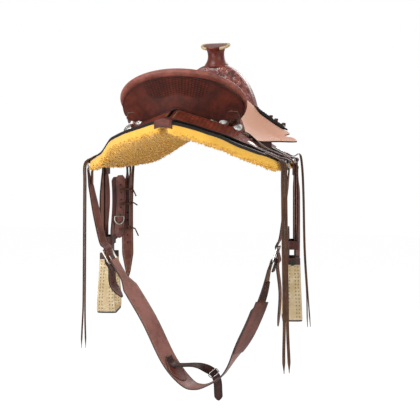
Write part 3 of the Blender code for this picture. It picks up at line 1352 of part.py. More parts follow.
make_skirts()
make_skirt_connector()
make_bars()
make_ground_seat()
make_seat()
make_rear_jockeys()
make_front_jockeys()
make_fork()
make_horn()
make_cantle()
for side in (-1, 1):
    make_hanger(side)
    make_stirrup_leather(side)
    make_fender(side)
    make_hobble(side)
    make_stirrup(side)
    make_bolt(side)
    make_rigging(side, "rear", REAR_DEE_X, REAR_DEE_Y, REAR_DEE_Z)
    make_rigging(side, "front", FRONT_DEE_X, FRONT_DEE_Y, FRONT_DEE_Z)
    make_dee(side, "rear", REAR_DEE_X, REAR_DEE_Y, REAR_DEE_Z)
    make_dee(side, "front", FRONT_DEE_X, FRONT_DEE_Y, FRONT_DEE_Z)
    make_flank_billet(side)
    make_flank_buckle(side)
    make_front_strap(side)
    make_string("string_rear_" + side_name(side), rear_string_points(side), 0.16 if side < 0 else 0.12,
                width=STRING_WIDTH if side < 0 else STRING_PAIR_WIDTH)
    make_string("string_front_" + side_name(side), front_string_points(side), 0.20)
    make_concho("concho_rear_" + side_name(side), side * 0.205, -0.200, jockey_height,
                SEAT_LEATHER + CONCHO_SEAT)
    make_concho("concho_front_" + side_name(side), side * 0.215, STRING_FRONT_Y, front_jockey_height,
                SEAT_LEATHER + FRONT_CONCHO_SEAT)
make_flank_cinch()
make_connector()
hang_on_joints()
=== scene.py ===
"""Looks of the ranch saddle: its leathers, wool, rawhide and steel, and the studio around them."""

import logging
import math
from dataclasses import dataclass, replace
from enum import Enum

import bmesh
import bpy
import numpy as np
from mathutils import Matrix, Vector
from mathutils.geometry import delaunay_2d_cdt


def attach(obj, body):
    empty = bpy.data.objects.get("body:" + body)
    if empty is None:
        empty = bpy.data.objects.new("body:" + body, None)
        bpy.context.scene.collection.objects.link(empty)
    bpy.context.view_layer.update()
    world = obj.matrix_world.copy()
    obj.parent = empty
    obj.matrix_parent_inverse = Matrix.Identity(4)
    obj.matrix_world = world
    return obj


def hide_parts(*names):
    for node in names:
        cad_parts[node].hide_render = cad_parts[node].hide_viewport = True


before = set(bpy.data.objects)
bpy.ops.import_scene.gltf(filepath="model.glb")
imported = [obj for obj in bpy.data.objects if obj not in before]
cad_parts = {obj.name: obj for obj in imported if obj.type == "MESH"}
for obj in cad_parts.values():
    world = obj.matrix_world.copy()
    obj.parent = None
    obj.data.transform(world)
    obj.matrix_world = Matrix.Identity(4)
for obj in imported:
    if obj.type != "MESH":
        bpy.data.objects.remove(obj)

Array = np.ndarray
Colour = tuple[float, float, float]
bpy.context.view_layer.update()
LOG = logging.getLogger("saddle")
UP = np.array((0.0, 0.0, 1.0))


class Side(Enum):
    """The near (left) or off (right) side of the horse."""

    NEAR = -1
    OFF = 1

    @property
    def word(self) -> str:
        """The ending that the nodes on this side have."""
        return "left" if self is Side.NEAR else "right"

    @property
    def mirror(self) -> tuple[int, int, int]:
        """What turns a point of the off side into the same point of this side."""
        return self.value, 1, 1


class Stamp(Enum):
    """What is stamped into a leather's face."""

    NONE = 0
    BASKET = 1
    LEAF = 2


# Curves and surfaces

def eased(t: Array) -> Array:
    """A smooth step from 0 to 1: 3 t squared less 2 t cubed."""
    t = np.clip(t, 0.0, 1.0)
    return t * t * (3 - 2 * t)


def arc(cx: float, cy: float, radius: float, start: float, end: float, count: int) -> list:
    """Points on a circle's arc, its angles in degrees."""
    angles = np.radians(np.linspace(start, end, count))
    return [(cx + radius * math.cos(a), cy + radius * math.sin(a)) for a in angles]


def full_turn(count: int) -> Array:
    """Angles from 0 round to the same place again."""
    return np.linspace(0, 2 * math.pi, count)


def curve_through(points: Array, count: int) -> Array:
    """A smooth curve through points, resampled at equal steps of length.

    Between two points it is the cubic whose slope at each is half the chord of its neighbours.

    Args:
        points: The points, one row each.
        count: How many points to return.

    Returns:
        The resampled points.
    """
    p = np.asarray(points, float)
    p = np.vstack([2 * p[0] - p[1], p, 2 * p[-1] - p[-2]])
    t = np.linspace(0, 1, 24, endpoint=False)[None, :, None]
    a, b, c, d = p[:-3, None], p[1:-2, None], p[2:-1, None], p[3:, None]
    square, cube = 2 * a - 5 * b + 4 * c - d, 3 * b - a - 3 * c + d
    fine = 0.5 * (2 * b + (c - a) * t + square * t * t + cube * t ** 3)
    fine = np.vstack([fine.reshape(-1, p.shape[1]), p[-2:-1]])
    return resampled(fine, count)


def resampled(points: Array, count: int) -> Array:
    """The same line at equal steps of length."""
    run = lengths(points)
    at = np.linspace(0, run[-1], count)
    return np.stack([np.interp(at, run, points[:, k]) for k in range(points.shape[1])], axis=1)


def lengths(points: Array) -> Array:
    """The length along a line at each of its points."""
    return np.concatenate([[0], np.cumsum(np.linalg.norm(np.diff(points, axis=0), axis=1))])


def unit(vectors: Array) -> Array:
    """Vectors of the same directions and of length one."""
    return vectors / np.linalg.norm(vectors, axis=-1, keepdims=True)


@dataclass(frozen=True)
class Form:
    """The sizes and surfaces that the leathers lie on, in metres."""

    layer: float = 0.0006
    skirt: float = 0.0055
    seat: float = 0.0045
    strap: float = 0.0042
    bar_depth: float = 0.017
    rear_end: float = -0.400
    front_end: float = 0.290
    seat_front: float = 0.138
    dish_start: float = -0.125
    dish_half: float = 0.161
    dish_back: float = -0.2535
    rim_half: float = 0.1933
    rim_back: float = -0.285
    rim_depth: float = 0.0862
    rim_middle: float = 0.140
    rim_rise: float = 0.092
    ridge: float = 0.084
    ridge_rise: float = 0.045
    slope: float = 0.320
    slope_rise: float = 0.260
    bow: float = 0.23
    curl: float = 0.007
    curl_least: float = 0.15
    curl_full: float = 0.100
    curl_end: float = 0.140
    curl_fade: float = 0.055
    curl_reach: float = 0.075
    seat_low: float = 0.130
    seat_low_y: float = -0.045
    seat_bend: float = 1.35
    seat_reach: float = 0.294
    lobe_height: float = 0.030
    lobe_y: float = 0.085
    lobe_rise: float = 0.45
    lobe_fall: float = 0.06
    shoulder: float = 0.045
    shoulder_rise: float = 0.053
    rear_edge: tuple = ((0.0, -0.382), (0.030, -0.381), (0.120, -0.342), (0.195, -0.280), (0.273, -0.215))
    jockey_back: float = -0.352
    jockey_edge: tuple = ((0.040, -0.347), (0.120, -0.303), (0.190, -0.245))

    def back(self, x: Array, y: Array) -> Array:
        """The skirts' upper face: a ridge rising forwards, less a slope and a square law to each side."""
        forward = np.clip((y - self.rear_end) / (self.front_end - self.rear_end), 0.0, 1.2) ** 3
        side = np.abs(x)
        fall = (self.slope + self.slope_rise * forward) * side
        return self.ridge + self.ridge_rise * forward - fall - self.bow * side * side

    def curled(self, x: Array, y: Array) -> Array:
        """The skirts' upper face, its last strip curled up by a square law between spine and corner."""
        side = np.abs(x)
        before_corner = 1 - eased((side - self.curl_end) / self.curl_fade)
        off_spine = self.curl_least + (1 - self.curl_least) * eased(side / self.curl_full)
        strip = np.clip(1 - self.rear_gap(x, y) / self.curl_reach, 0, 1) ** 2
        return self.back(x, y) + self.curl * strip * (before_corner * off_spine)

    def rear_gap(self, x: Array, y: Array) -> Array:
        """The distance in plan to the skirts' rear edge."""
        return line_distance(np.stack([np.abs(x), y], axis=-1), np.array(self.rear_edge))

    def rim_height(self, y: Array) -> Array:
        """The height of the rim's tilted plane over a point of the centre line."""
        return self.rim_middle + self.rim_rise * (self.rim_back + self.rim_depth - y) / self.rim_depth

    def sitting(self, x: Array, y: Array) -> Array:
        """The seat's face: a parabola along the middle, eased down to both sides, dished up to the rim."""
        side = np.abs(x)
        floor = self.seat_low + self.seat_bend * np.maximum(0.0, y - self.seat_low_y) ** 2
        ahead = y - self.lobe_y
        lobe = self.lobe_height + self.lobe_rise * np.maximum(0.0, ahead)
        lobe = lobe + self.lobe_fall * np.minimum(0.0, ahead)
        shoulder = self.shoulder + self.shoulder_rise * eased(y / self.seat_front)
        down = 0.86 * eased((side - shoulder) / 0.170) + 0.14 * side / self.seat_reach
        surface = floor - (floor - lobe) * down
        deep = np.minimum(0.0, y - self.dish_start) / (self.dish_back - self.dish_start)
        hollow = np.sqrt((x / self.dish_half) ** 2 + deep ** 2)
        dish = np.clip((hollow - 0.10) / 0.90, 0.0, 1.0) ** 1.6 * eased((self.dish_start + 0.02 - y) / 0.06)
        return surface + np.maximum(0.0, self.rim_height(y) - 0.007 - surface) * dish

    def rear_jockey(self, x: Array, y: Array) -> Array:
        """The rear jockeys' under face: over the bars at the middle, down on the skirts outside."""
        over = self.bar_depth + 0.014 * eased((y + 0.37) / 0.16)
        line = np.array(((0.0, self.jockey_back),) + self.jockey_edge)
        down = eased(line_distance(np.stack([np.abs(x), y], axis=-1), line) / 0.062)
        off_bar = 1 - eased((np.abs(x) - 0.150) / 0.086)
        return self.curled(x, y) + self.layer + over * (0.16 + 0.84 * down) * off_bar

    def front_jockey(self, x: Array, y: Array) -> Array:
        """The front jockeys' under face: off the bars' edges and down on the skirts."""
        over = self.bar_depth + self.layer * 2
        return self.back(x, y) + self.layer + over * (1 - eased((np.abs(x) - 0.12) / 0.06))

    def rim(self, angle: Array) -> Array:
        """The cantle's rim: an ellipse seen from above, in one tilted plane, by angle from its middle."""
        return np.stack([self.rim_half * np.sin(angle), self.rim_back + self.rim_depth * (1 - np.cos(angle)),
                         self.rim_middle + self.rim_rise * np.cos(angle)], axis=-1)


FORM = Form()
NEAR_FORM = replace(FORM, curl=0.024, curl_full=0.215, curl_end=0.190)


def form_of(side: Side) -> Form:
    """The off side's form, or the near side's, whose skirt curls up more at its rear."""
    return NEAR_FORM if side is Side.NEAR else FORM


# Meshes

def linked(name: str, data: bpy.types.ID) -> bpy.types.Object:
    """A new object of a mesh, lamp or camera, at the origin of the scene."""
    item = bpy.data.objects.new(name, data)
    bpy.context.scene.collection.objects.link(item)
    return item


def put_maps(mesh: bpy.types.Mesh, maps: dict[str, Array]) -> None:
    """Gives a mesh its UV maps, each with two values for every point."""
    corners = np.empty(len(mesh.loops), np.int32)
    mesh.loops.foreach_get("vertex_index", corners)
    for label, values in maps.items():
        layer = mesh.uv_layers.new(name=label)
        layer.data.foreach_set("uv", values.reshape(-1, 2)[corners].astype(np.float32).ravel())


def edge_and_plan(edge: tuple[Array, Array], plan: tuple[Array, Array]) -> dict[str, Array]:
    """The maps "Edge", of run and distance to the edge, and "Plan", of the place on the face."""
    return {"Edge": np.stack(edge, axis=-1), "Plan": np.stack(plan, axis=-1)}


def grid_piece(name: str, points: Array, maps: dict[str, Array],
               upward: bool | None = None) -> bpy.types.Object:
    """A mesh on a grid of points, one four-cornered face for each cell, merged where the points meet.

    Args:
        name: The piece's name.
        points: An array of rows, columns and three coordinates.
        maps: For each UV map's name, an array of rows, columns and two values.
        upward: For an open sheet, whether its faces should look up; None leaves them as they are.

    Returns:
        The new object, at the origin.
    """
    rows, columns = points.shape[:2]
    index = np.arange(rows * columns).reshape(rows, columns)
    quads = np.stack([index[:-1, :-1], index[1:, :-1], index[1:, 1:], index[:-1, 1:]], axis=-1).reshape(-1, 4)
    if upward is not None:
        a, b, d = (points.reshape(-1, 3)[quads[:, k]] for k in (0, 1, 3))
        if (np.cross(b - a, d - a)[:, 2].sum() > 0) != upward:
            quads = quads[:, ::-1]
    mesh = bpy.data.meshes.new(name)
    mesh.from_pydata(points.reshape(-1, 3).tolist(), [], quads.tolist())
    put_maps(mesh, maps)
    bm = bmesh.new()
    bm.from_mesh(mesh)
    bmesh.ops.remove_doubles(bm, verts=bm.verts, dist=2e-6)
    if upward is None:
        bmesh.ops.recalc_face_normals(bm, faces=bm.faces)
    bm.to_mesh(mesh)
    bm.free()
    mesh.shade_smooth()
    return linked(name, mesh)


def thicken(item: bpy.types.Object, thickness: float, offset: float, edge: float = 0.0012) -> None:
    """Gives a sheet its thickness and rounds its cut edge.

    Args:
        item: The sheet.
        thickness: The leather's thickness.
        offset: 1 to grow along the faces' normals, -1 against them.
        edge: The width of the rounding.
    """
    solid = item.modifiers.new("thickness", "SOLIDIFY")
    solid.thickness = thickness
    solid.offset = offset
    solid.use_even_offset = False
    if len(item.data.materials) > 1:
        solid.material_offset_rim = 1
    bevel = item.modifiers.new("edge", "BEVEL")
    bevel.width = edge
    bevel.segments = 2
    bevel.limit_method = "ANGLE"
    bevel.angle_limit = math.radians(50)


def nearest_edge(points: Array, ring: Array) -> Array:
    """For each point of a plan, the run along an outline to its nearest point, and the distance to it."""
    fine = resampled(np.vstack([ring, ring[:1]]), 700)
    run = lengths(fine)
    flat = points.reshape(-1, 2)
    best = np.concatenate([np.linalg.norm(part[:, None] - fine[None], axis=2).argmin(1)
                           for part in np.array_split(flat, max(1, len(flat) // 800))])
    distance = np.linalg.norm(flat - fine[best], axis=1)
    return np.stack([run[best], distance], axis=1).reshape(points.shape)


def rounded(ring: list, count: int, corner: float = 0.0) -> Array:
    """A closed outline resampled at equal steps, with its corners eased by a running mean.

    Args:
        ring: The outline's points.
        count: How many points to return.
        corner: The length over which the mean runs.

    Returns:
        The points, without a repeat of the first.
    """
    closed = np.vstack([ring, ring[:1]])
    fine = resampled(closed, count + 1)[:-1]
    step = lengths(closed)[-1] / count
    reach = int(corner / step)
    if reach:
        kernel = np.hanning(2 * reach + 3)[1:-1]
        kernel /= kernel.sum()
        wrapped = np.vstack([fine[-reach:], fine, fine[:reach]])
        fine = np.stack([np.convolve(wrapped[:, k], kernel, "valid") for k in (0, 1)], axis=1)
    return fine


def inside(points: Array, ring: Array) -> Array:
    """Whether each point is inside an outline, by how often a ray from it crosses the outline."""
    a, b = ring[None], np.roll(ring, -1, axis=0)[None]
    x, y = points[:, None, 0], points[:, None, 1]
    spans = (a[..., 1] > y) != (b[..., 1] > y)
    rise = np.where(b[..., 1] == a[..., 1], 1e-12, b[..., 1] - a[..., 1])
    crossing = a[..., 0] + (y - a[..., 1]) * (b[..., 0] - a[..., 0]) / rise
    return (spans & (x < crossing)).sum(1) % 2 == 1


def filled(ring: Array, spacing: float) -> tuple[Array, Array]:
    """Triangles that fill an outline, on a staggered grid of points.

    Args:
        ring: The outline, its points first in the result.
        spacing: The grid's step.

    Returns:
        The points of the plan and the triangles' corners.
    """
    low, high = ring.min(0), ring.max(0)
    x, y = np.meshgrid(np.arange(low[0], high[0], spacing), np.arange(low[1], high[1], spacing * 0.866))
    x[1::2] += spacing / 2
    grid = np.stack([x.ravel(), y.ravel()], axis=1)
    grid = grid[inside(grid, ring)]
    grid = grid[nearest_edge(grid, ring)[..., 1] > spacing * 0.6]
    points = np.vstack([ring, grid])
    around = [(k, (k + 1) % len(ring)) for k in range(len(ring))]
    found = delaunay_2d_cdt([Vector(p) for p in points.tolist()], around, [], 1, 1e-8)
    return np.array([tuple(v) for v in found[0]]), np.array(found[2])


def sheet_piece(name: str, plan: Array, triangles: Array, points: Array, edge: Array,
                towards: tuple) -> bpy.types.Object:
    """An open sheet of triangles with the maps "Edge" and "Plan".

    Args:
        name: The piece's name.
        plan: The points in the sheet's own plan.
        triangles: The corners of each triangle.
        points: The same points in space.
        edge: For each point, its place along the edge and its distance to it.
        towards: The direction that the faces look to.

    Returns:
        The new object, at the origin.
    """
    mesh = bpy.data.meshes.new(name)
    mesh.from_pydata(points.tolist(), [], triangles.tolist())
    put_maps(mesh, {"Edge": edge, "Plan": plan})
    item = linked(name, mesh)
    flip_to(item, towards)
    mesh.shade_smooth()
    return item


def closed_pad(name: str, ring: Array, plan: Array, triangles: Array, low: Array, high: Array,
               bulge: float, side: Side, extra: list) -> bpy.types.Object:
    """A closed piece between two faces of one plan, its wall curved out by half a sine.

    Args:
        name: The piece's name.
        ring: The outline, whose points come first in the plan.
        plan: The plan's points.
        triangles: The corners of its triangles.
        low: The lower face's points.
        high: The upper face's points.
        bulge: How far the wall stands out at its middle.
        side: The side that the piece is on.
        extra: Loose meshes that become part of it.

    Returns:
        The piece, closed and with its faces outwards.
    """
    edge = nearest_edge(plan, ring)
    bottom = sheet_piece("low_face", plan, triangles, low, edge, (0, 0, -1))
    top = sheet_piece("high_face", plan, triangles, high, edge, (0, 0, 1))
    rim = list(range(len(ring))) + [0]
    share = np.linspace(0, 1, 5)[:, None, None]
    out = unit(np.stack([np.roll(ring[:, 1], -1) - np.roll(ring[:, 1], 1),
                         np.roll(ring[:, 0], 1) - np.roll(ring[:, 0], -1)], axis=1))[rim]
    area = (ring[:, 0] * np.roll(ring[:, 1], -1) - ring[:, 1] * np.roll(ring[:, 0], -1)).sum()
    out = np.concatenate([out * np.sign(area), 0 * out[:, :1]], axis=1) * side.mirror * bulge
    wall = low[rim][None] * (1 - share) + high[rim][None] * share + out[None] * np.sin(math.pi * share)
    blank = np.zeros(wall.shape[:2] + (2,))
    item = joined(name, [bottom, top, grid_piece("wall", wall, {"Edge": blank, "Plan": blank}), *extra])
    bm = bmesh.new()
    bm.from_mesh(item.data)
    bmesh.ops.remove_doubles(bm, verts=bm.verts, dist=1e-5)
    bmesh.ops.recalc_face_normals(bm, faces=bm.faces)
    bm.to_mesh(item.data)
    bm.free()
    item.data.shade_smooth()
    return item


def flip_to(item: bpy.types.Object, towards: tuple[float, float, float]) -> None:
    """Turns an open sheet's faces so that they look towards a direction."""
    faces = item.data.polygons
    normals, areas = np.empty((len(faces), 3), np.float32), np.empty(len(faces), np.float32)
    faces.foreach_get("normal", normals.ravel())
    faces.foreach_get("area", areas)
    if areas @ (normals @ np.asarray(towards, np.float32)) < 0:
        item.data.flip_normals()


def line_distance(points: Array, line: Array) -> Array:
    """The distance from each point of a plan to the nearest point of a line."""
    fine = resampled(line, 120)
    flat = points.reshape(-1, 2)
    best = np.concatenate([np.linalg.norm(part[:, None] - fine[None], axis=2).min(1)
                           for part in np.array_split(flat, max(1, len(flat) // 2000))])
    return best.reshape(points.shape[:-1])


def on_surface(plan: Array, height, lift: float = 0.0) -> Array:
    """Points of a plan raised to a height surface, and along its normal by lift."""
    x, y = plan[..., 0], plan[..., 1]
    step = 1e-4
    z = height(x, y)
    normal = np.stack([-(height(x + step, y) - height(x - step, y)) / (2 * step),
                       -(height(x, y + step) - height(x, y - step)) / (2 * step), np.ones_like(z)], axis=-1)
    return np.stack([x, y, z], axis=-1) + unit(normal) * lift


def capped(middles: Array, rows: Array) -> Array:
    """A swept tube's rows closed by a point at each end, the point repeated for every column."""
    count = rows.shape[1]
    return np.concatenate([middles[:1, None].repeat(count, 1), rows, middles[-1:, None].repeat(count, 1)])


def raised_sheet(name: str, ring: Array, spacing: float, surface, mirror: tuple) -> bpy.types.Object:
    """An outline in plan, filled and raised to a height surface, its faces up.

    Args:
        name: The piece's name.
        ring: The outline.
        spacing: The step of the points inside it.
        surface: A function of x and y that returns the height.
        mirror: What the points are multiplied by, to put them on their side.

    Returns:
        The open sheet.
    """
    plan, triangles = filled(ring, spacing)
    points = on_surface(plan, surface) * mirror
    return sheet_piece(name, plan, triangles, points, nearest_edge(plan, ring), (0, 0, 1))


def flat_section(count: int, roundness: float = 0.35) -> Array:
    """A flat closed section from -1 to 1 both ways with rounded sides: a superellipse, its start repeated."""
    angle = full_turn(count)
    c, s = np.cos(angle), np.sin(angle)
    return np.stack([np.sign(c) * np.abs(c) ** roundness, np.sign(s) * np.abs(s) ** roundness], axis=1)


def strap_piece(name: str, path: Array, sides: Array, half: Array, thickness: float,
                section: Array | None = None) -> bpy.types.Object:
    """A closed strap swept along a path, its section scaled at each station to the half width and thickness.

    Args:
        name: The piece's name.
        path: The stations of the strap's middle line.
        sides: The width's direction at each.
        half: The half width at each.
        thickness: The leather's thickness.
        section: The section from -1 to 1; a rounded flat one if left out.

    Returns:
        The strap, with maps "Edge", of run and distance to the edge, and "Plan", of run and place across.
    """
    section = flat_section(21) if section is None else section
    tangent = unit(np.gradient(path, axis=0))
    side = unit(sides - tangent * (sides * tangent).sum(1, keepdims=True))
    normal = np.cross(tangent, side)
    across, through = section[:, 0], section[:, 1] * thickness / 2
    half = np.asarray(half, float)
    rows = path[:, None] + side[:, None] * (across[None, :, None] * half[:, None, None]) \
        + normal[:, None] * through[None, :, None]
    rows = capped(path, rows)
    run = np.concatenate([[0], lengths(path), [lengths(path)[-1]]])
    width = np.concatenate([half[:1], half, half[-1:]])
    place = across[None] * width[:, None]
    run = run[:, None].repeat(len(section), 1)
    return grid_piece(name, rows, edge_and_plan((run, width[:, None] - np.abs(place)), (run, place)))


def tip_share(run: Array, length: float, least: float) -> Array:
    """A strap's share of its width at each point: a square root over the last length, from the least."""
    return np.sqrt(np.clip((run[-1] - run) / length, least, 1.0))


def wire_piece(name: str, line: Array, out: Array, normal: Array, radius: float) -> bpy.types.Object:
    """A round wire along a closed flat line, given its outward directions and the normal of its plane."""
    ring = full_turn(13)[:, None]
    rows = line[:, None] + (out[:, None] * np.cos(ring) + normal * np.sin(ring)) * radius
    return grid_piece(name, rows, {})


def disc(name: str, profile: Array, centre: Array, facing: Array, scallop: float) -> bpy.types.Object:
    """A profile of radius and height turned about its own axis, its radius rippled sixteen times.

    Args:
        name: The piece's name.
        profile: Rows of radius and height.
        centre: The middle of its back.
        facing: The direction that it faces.
        scallop: The ripple's share of the radius.

    Returns:
        The disc.
    """
    turn = full_turn(65)
    normal = unit(facing)
    across = unit(np.cross(normal, (0.0, 1.0, 0.0)))
    along = np.cross(normal, across)
    radius = profile[:, :1] * (1 + scallop * np.cos(16 * turn)[None])
    rows = centre + normal * profile[:, 1:, None] + across * (radius * np.cos(turn))[..., None] \
        + along * (radius * np.sin(turn))[..., None]
    return grid_piece(name, rows, {})


def joined(name: str, items: list) -> bpy.types.Object:
    """Several meshes made one object, their materials and maps kept."""
    with bpy.context.temp_override(active_object=items[0], selected_editable_objects=items):
        bpy.ops.object.join()
    items[0].name = name
    return items[0]


# Shader nodes

class Graph:
    """A node tree with short calls for the nodes that the finishes use."""

    def __init__(self, tree: bpy.types.NodeTree) -> None:
        """Starts from an empty tree."""
        self.tree = tree
        self.tree.nodes.clear()

    def add(self, kind: str, inputs: dict | None = None, **settings) -> bpy.types.Node:
        """Adds a node.

        Args:
            kind: The node's type.
            inputs: Values or sockets for its inputs, by name or number.
            **settings: The node's own properties.

        Returns:
            The node.
        """
        made = self.tree.nodes.new(kind)
        for key, value in settings.items():
            setattr(made, key, value)
        for key, value in (inputs or {}).items():
            self.feed(made.inputs[key], value)
        return made

    def feed(self, socket: bpy.types.NodeSocket, value) -> None:
        """Links a socket, or sets its value."""
        if isinstance(value, bpy.types.NodeSocket):
            self.tree.links.new(value, socket)
        elif isinstance(value, tuple) and len(value) == 3 and socket.type == "RGBA":
            socket.default_value = (*value, 1.0)
        else:
            socket.default_value = value

    def calc(self, operation: str, *values) -> bpy.types.NodeSocket:
        """One step of arithmetic on numbers or sockets."""
        return self.add("ShaderNodeMath", dict(enumerate(values)), operation=operation).outputs[0]

    def times(self, first, second) -> bpy.types.NodeSocket:
        """The product of two numbers or sockets."""
        return self.calc("MULTIPLY", first, second)

    def plus(self, first, second) -> bpy.types.NodeSocket:
        """Their sum."""
        return self.calc("ADD", first, second)

    def minus(self, first, second) -> bpy.types.NodeSocket:
        """The first less the second."""
        return self.calc("SUBTRACT", first, second)

    def over(self, first, second) -> bpy.types.NodeSocket:
        """The first divided by the second."""
        return self.calc("DIVIDE", first, second)

    def inverse(self, value) -> bpy.types.NodeSocket:
        """One less a share."""
        return self.minus(1.0, value)

    def size(self, value) -> bpy.types.NodeSocket:
        """A number without its sign."""
        return self.calc("ABSOLUTE", value)

    def ramp(self, value, low: float, high: float) -> bpy.types.NodeSocket:
        """How far a value has gone from low to high, from 0 to 1, eased at both ends."""
        made = self.add("ShaderNodeMapRange", {0: value, 1: low, 2: high}, interpolation_type="SMOOTHSTEP")
        return made.outputs[0]

    def blend(self, share, first, second) -> bpy.types.NodeSocket:
        """A colour between two."""
        made = self.add("ShaderNodeMix", {0: share, 6: first, 7: second}, data_type="RGBA")
        return made.outputs[2]

    def group(self, tree: bpy.types.NodeTree, inputs: dict | None = None) -> bpy.types.Node:
        """A shared effect's group node, its inputs by name."""
        made = self.tree.nodes.new("ShaderNodeGroup")
        made.node_tree = tree
        for key, value in (inputs or {}).items():
            self.feed(made.inputs[key], value)
        return made

    def place(self) -> bpy.types.NodeSocket:
        """The Object coordinates, in metres."""
        return self.add("ShaderNodeTexCoord").outputs["Object"]

    def noise(self, scale, detail: float, rough: float) -> bpy.types.NodeSocket:
        """Noise on Object coordinates."""
        inputs = {"Vector": self.place(), "Scale": scale, "Detail": detail, "Roughness": rough}
        return self.add("ShaderNodeTexNoise", inputs).outputs[0]

    def bump(self, height, distance: float = 1.0, strength: float = 1.0) -> bpy.types.NodeSocket:
        """The normal that a height gives; with a distance of 1 the height is in metres."""
        inputs = {"Height": height, "Distance": distance, "Strength": strength}
        return self.add("ShaderNodeBump", inputs).outputs[0]

    def shade(self, shader: bpy.types.Node, colour, rough, normal) -> None:
        """Feeds a shader its colour, roughness and normal."""
        for label, value in (("Base Color", colour), ("Roughness", rough), ("Normal", normal)):
            self.feed(shader.inputs[label], value)

    def uv(self, name: str) -> tuple:
        """The two values of a UV map."""
        split = self.add("ShaderNodeSeparateXYZ", {0: self.add("ShaderNodeUVMap", uv_map=name).outputs[0]})
        return split.outputs[0], split.outputs[1]


def effect(name: str, inputs: tuple, outputs: tuple, build) -> bpy.types.NodeTree:
    """A shared effect as a node group.

    Args:
        name: The group's name.
        inputs: The names of its number inputs.
        outputs: The names of its number outputs.
        build: A function of a Graph and the inputs' sockets that returns the outputs' sockets.

    Returns:
        The group's tree.
    """
    tree = bpy.data.node_groups.new(name, "ShaderNodeTree")
    for label in inputs:
        tree.interface.new_socket(name=label, in_out="INPUT", socket_type="NodeSocketFloat")
    for label in outputs:
        tree.interface.new_socket(name=label, in_out="OUTPUT", socket_type="NodeSocketFloat")
    graph = Graph(tree)
    start = tree.nodes.new("NodeGroupInput")
    end = tree.nodes.new("NodeGroupOutput")
    for label, socket in zip(outputs, build(graph, *[start.outputs[k] for k in inputs])):
        tree.links.new(socket, end.inputs[label])
    return tree


def build_grain(g: Graph, cells) -> tuple:
    """Leather grain: cell walls over fine noise, and a slow mottle for colour."""
    place = g.place()
    walls = g.add("ShaderNodeTexVoronoi", {"Vector": place, "Scale": cells, "Randomness": 1.0})
    fine = g.noise(g.times(cells, 0.4), 5.0, 0.62)
    height = g.plus(g.times(walls.outputs[0], 0.5), g.times(fine, 0.5))
    slow = g.noise(14.0, 4.0, 0.6)
    streak = g.noise(70.0, 3.0, 0.5)
    mottle = g.ramp(g.plus(g.times(slow, 0.65), g.times(streak, 0.35)), 0.36, 0.66)
    return height, mottle


def build_border(g: Graph, inset, pitch) -> tuple:
    """Edge work from the map "Edge": a row of stitches at an inset, its groove, and the cut edge itself."""
    run, distance = g.uv("Edge")
    off = g.size(g.minus(distance, inset))
    row = g.inverse(g.ramp(off, 0.0005, 0.0010))
    phase = g.calc("FRACT", g.over(run, pitch))
    thread = g.times(g.ramp(phase, 0.14, 0.24), g.inverse(g.ramp(phase, 0.76, 0.86)))
    groove = g.inverse(g.ramp(off, 0.0006, 0.0018))
    rim = g.inverse(g.ramp(distance, 0.0004, 0.0022))
    return g.times(row, thread), groove, rim


def build_basket(g: Graph, cell) -> tuple:
    """Basket stamping on the map "Plan": a checker of small pillows, each ribbed along or across."""
    u, v = g.uv("Plan")
    p, q = g.over(u, cell), g.over(v, g.times(cell, 0.72))
    turn = g.calc("MODULO", g.plus(g.calc("FLOOR", p), g.calc("FLOOR", q)), 2.0)
    turn = g.calc("GREATER_THAN", g.size(turn), 0.5)
    fp, fq = g.calc("FRACT", p), g.calc("FRACT", q)
    pillow = g.times(g.calc("SINE", g.times(fp, math.pi)),
                    g.calc("SINE", g.times(fq, math.pi)))
    ribs_p = g.size(g.calc("SINE", g.times(fp, 3 * math.pi)))
    ribs_q = g.size(g.calc("SINE", g.times(fq, 3 * math.pi)))
    ribs = g.plus(g.times(ribs_p, turn), g.times(ribs_q, g.inverse(turn)))
    height = g.times(g.calc("POWER", pillow, 0.5), g.plus(0.6, g.times(ribs, 0.4)))
    return height, g.inverse(g.ramp(pillow, 0.02, 0.30))


def build_leaf(g: Graph, cell) -> tuple:
    """Leafy carving on Object coordinates: warped rings cut by a beaded ground, no maker's pattern."""
    place = g.place()
    bend = g.add("ShaderNodeTexNoise", {"Vector": place, "Scale": g.times(cell, 0.8)}).outputs["Color"]
    shift = g.add("ShaderNodeVectorMath", {0: bend, 3: 0.018}, operation="SCALE").outputs[0]
    warped = g.add("ShaderNodeVectorMath", {0: place, 1: shift}, operation="ADD")
    cells = g.add("ShaderNodeTexVoronoi", {"Vector": warped.outputs[0], "Scale": cell}).outputs[0]
    rings = g.size(g.calc("SINE", g.times(cells, 17.0)))
    beads = g.add("ShaderNodeTexVoronoi", {"Vector": place, "Scale": g.times(cell, 12.0)}).outputs[0]
    ground = g.ramp(cells, 0.55, 0.68)
    height = g.plus(g.times(rings, g.inverse(ground)),
                    g.times(g.times(beads, 0.5), ground))
    return height, g.calc("MAXIMUM", ground, g.inverse(g.ramp(rings, 0.05, 0.35)))


def build_holes(g: Graph, start, end, pitch) -> tuple:
    """Punched holes on the map "Plan": round dots on the middle line between two places along the strap."""
    run, across = g.uv("Plan")
    phase = g.calc("FRACT", g.over(g.minus(run, start), pitch))
    along = g.times(g.minus(phase, 0.5), pitch)
    radius = g.calc("SQRT", g.plus(g.times(along, along), g.times(across, across)))
    inside = g.times(g.calc("GREATER_THAN", run, start), g.calc("LESS_THAN", run, end))
    return g.times(inside, g.inverse(g.ramp(radius, 0.0022, 0.0032))),


GRAIN = effect("leather_grain", ("Cells",), ("Height", "Mottle"), build_grain)
BORDER = effect("edge_work", ("Inset", "Pitch"), ("Stitch", "Groove", "Rim"), build_border)
BASKET = effect("basket_stamp", ("Cell",), ("Height", "Line"), build_basket)
LEAF = effect("leaf_carving", ("Cell",), ("Height", "Line"), build_leaf)
HOLES = effect("punched_holes", ("Start", "End", "Pitch"), ("Hole",), build_holes)


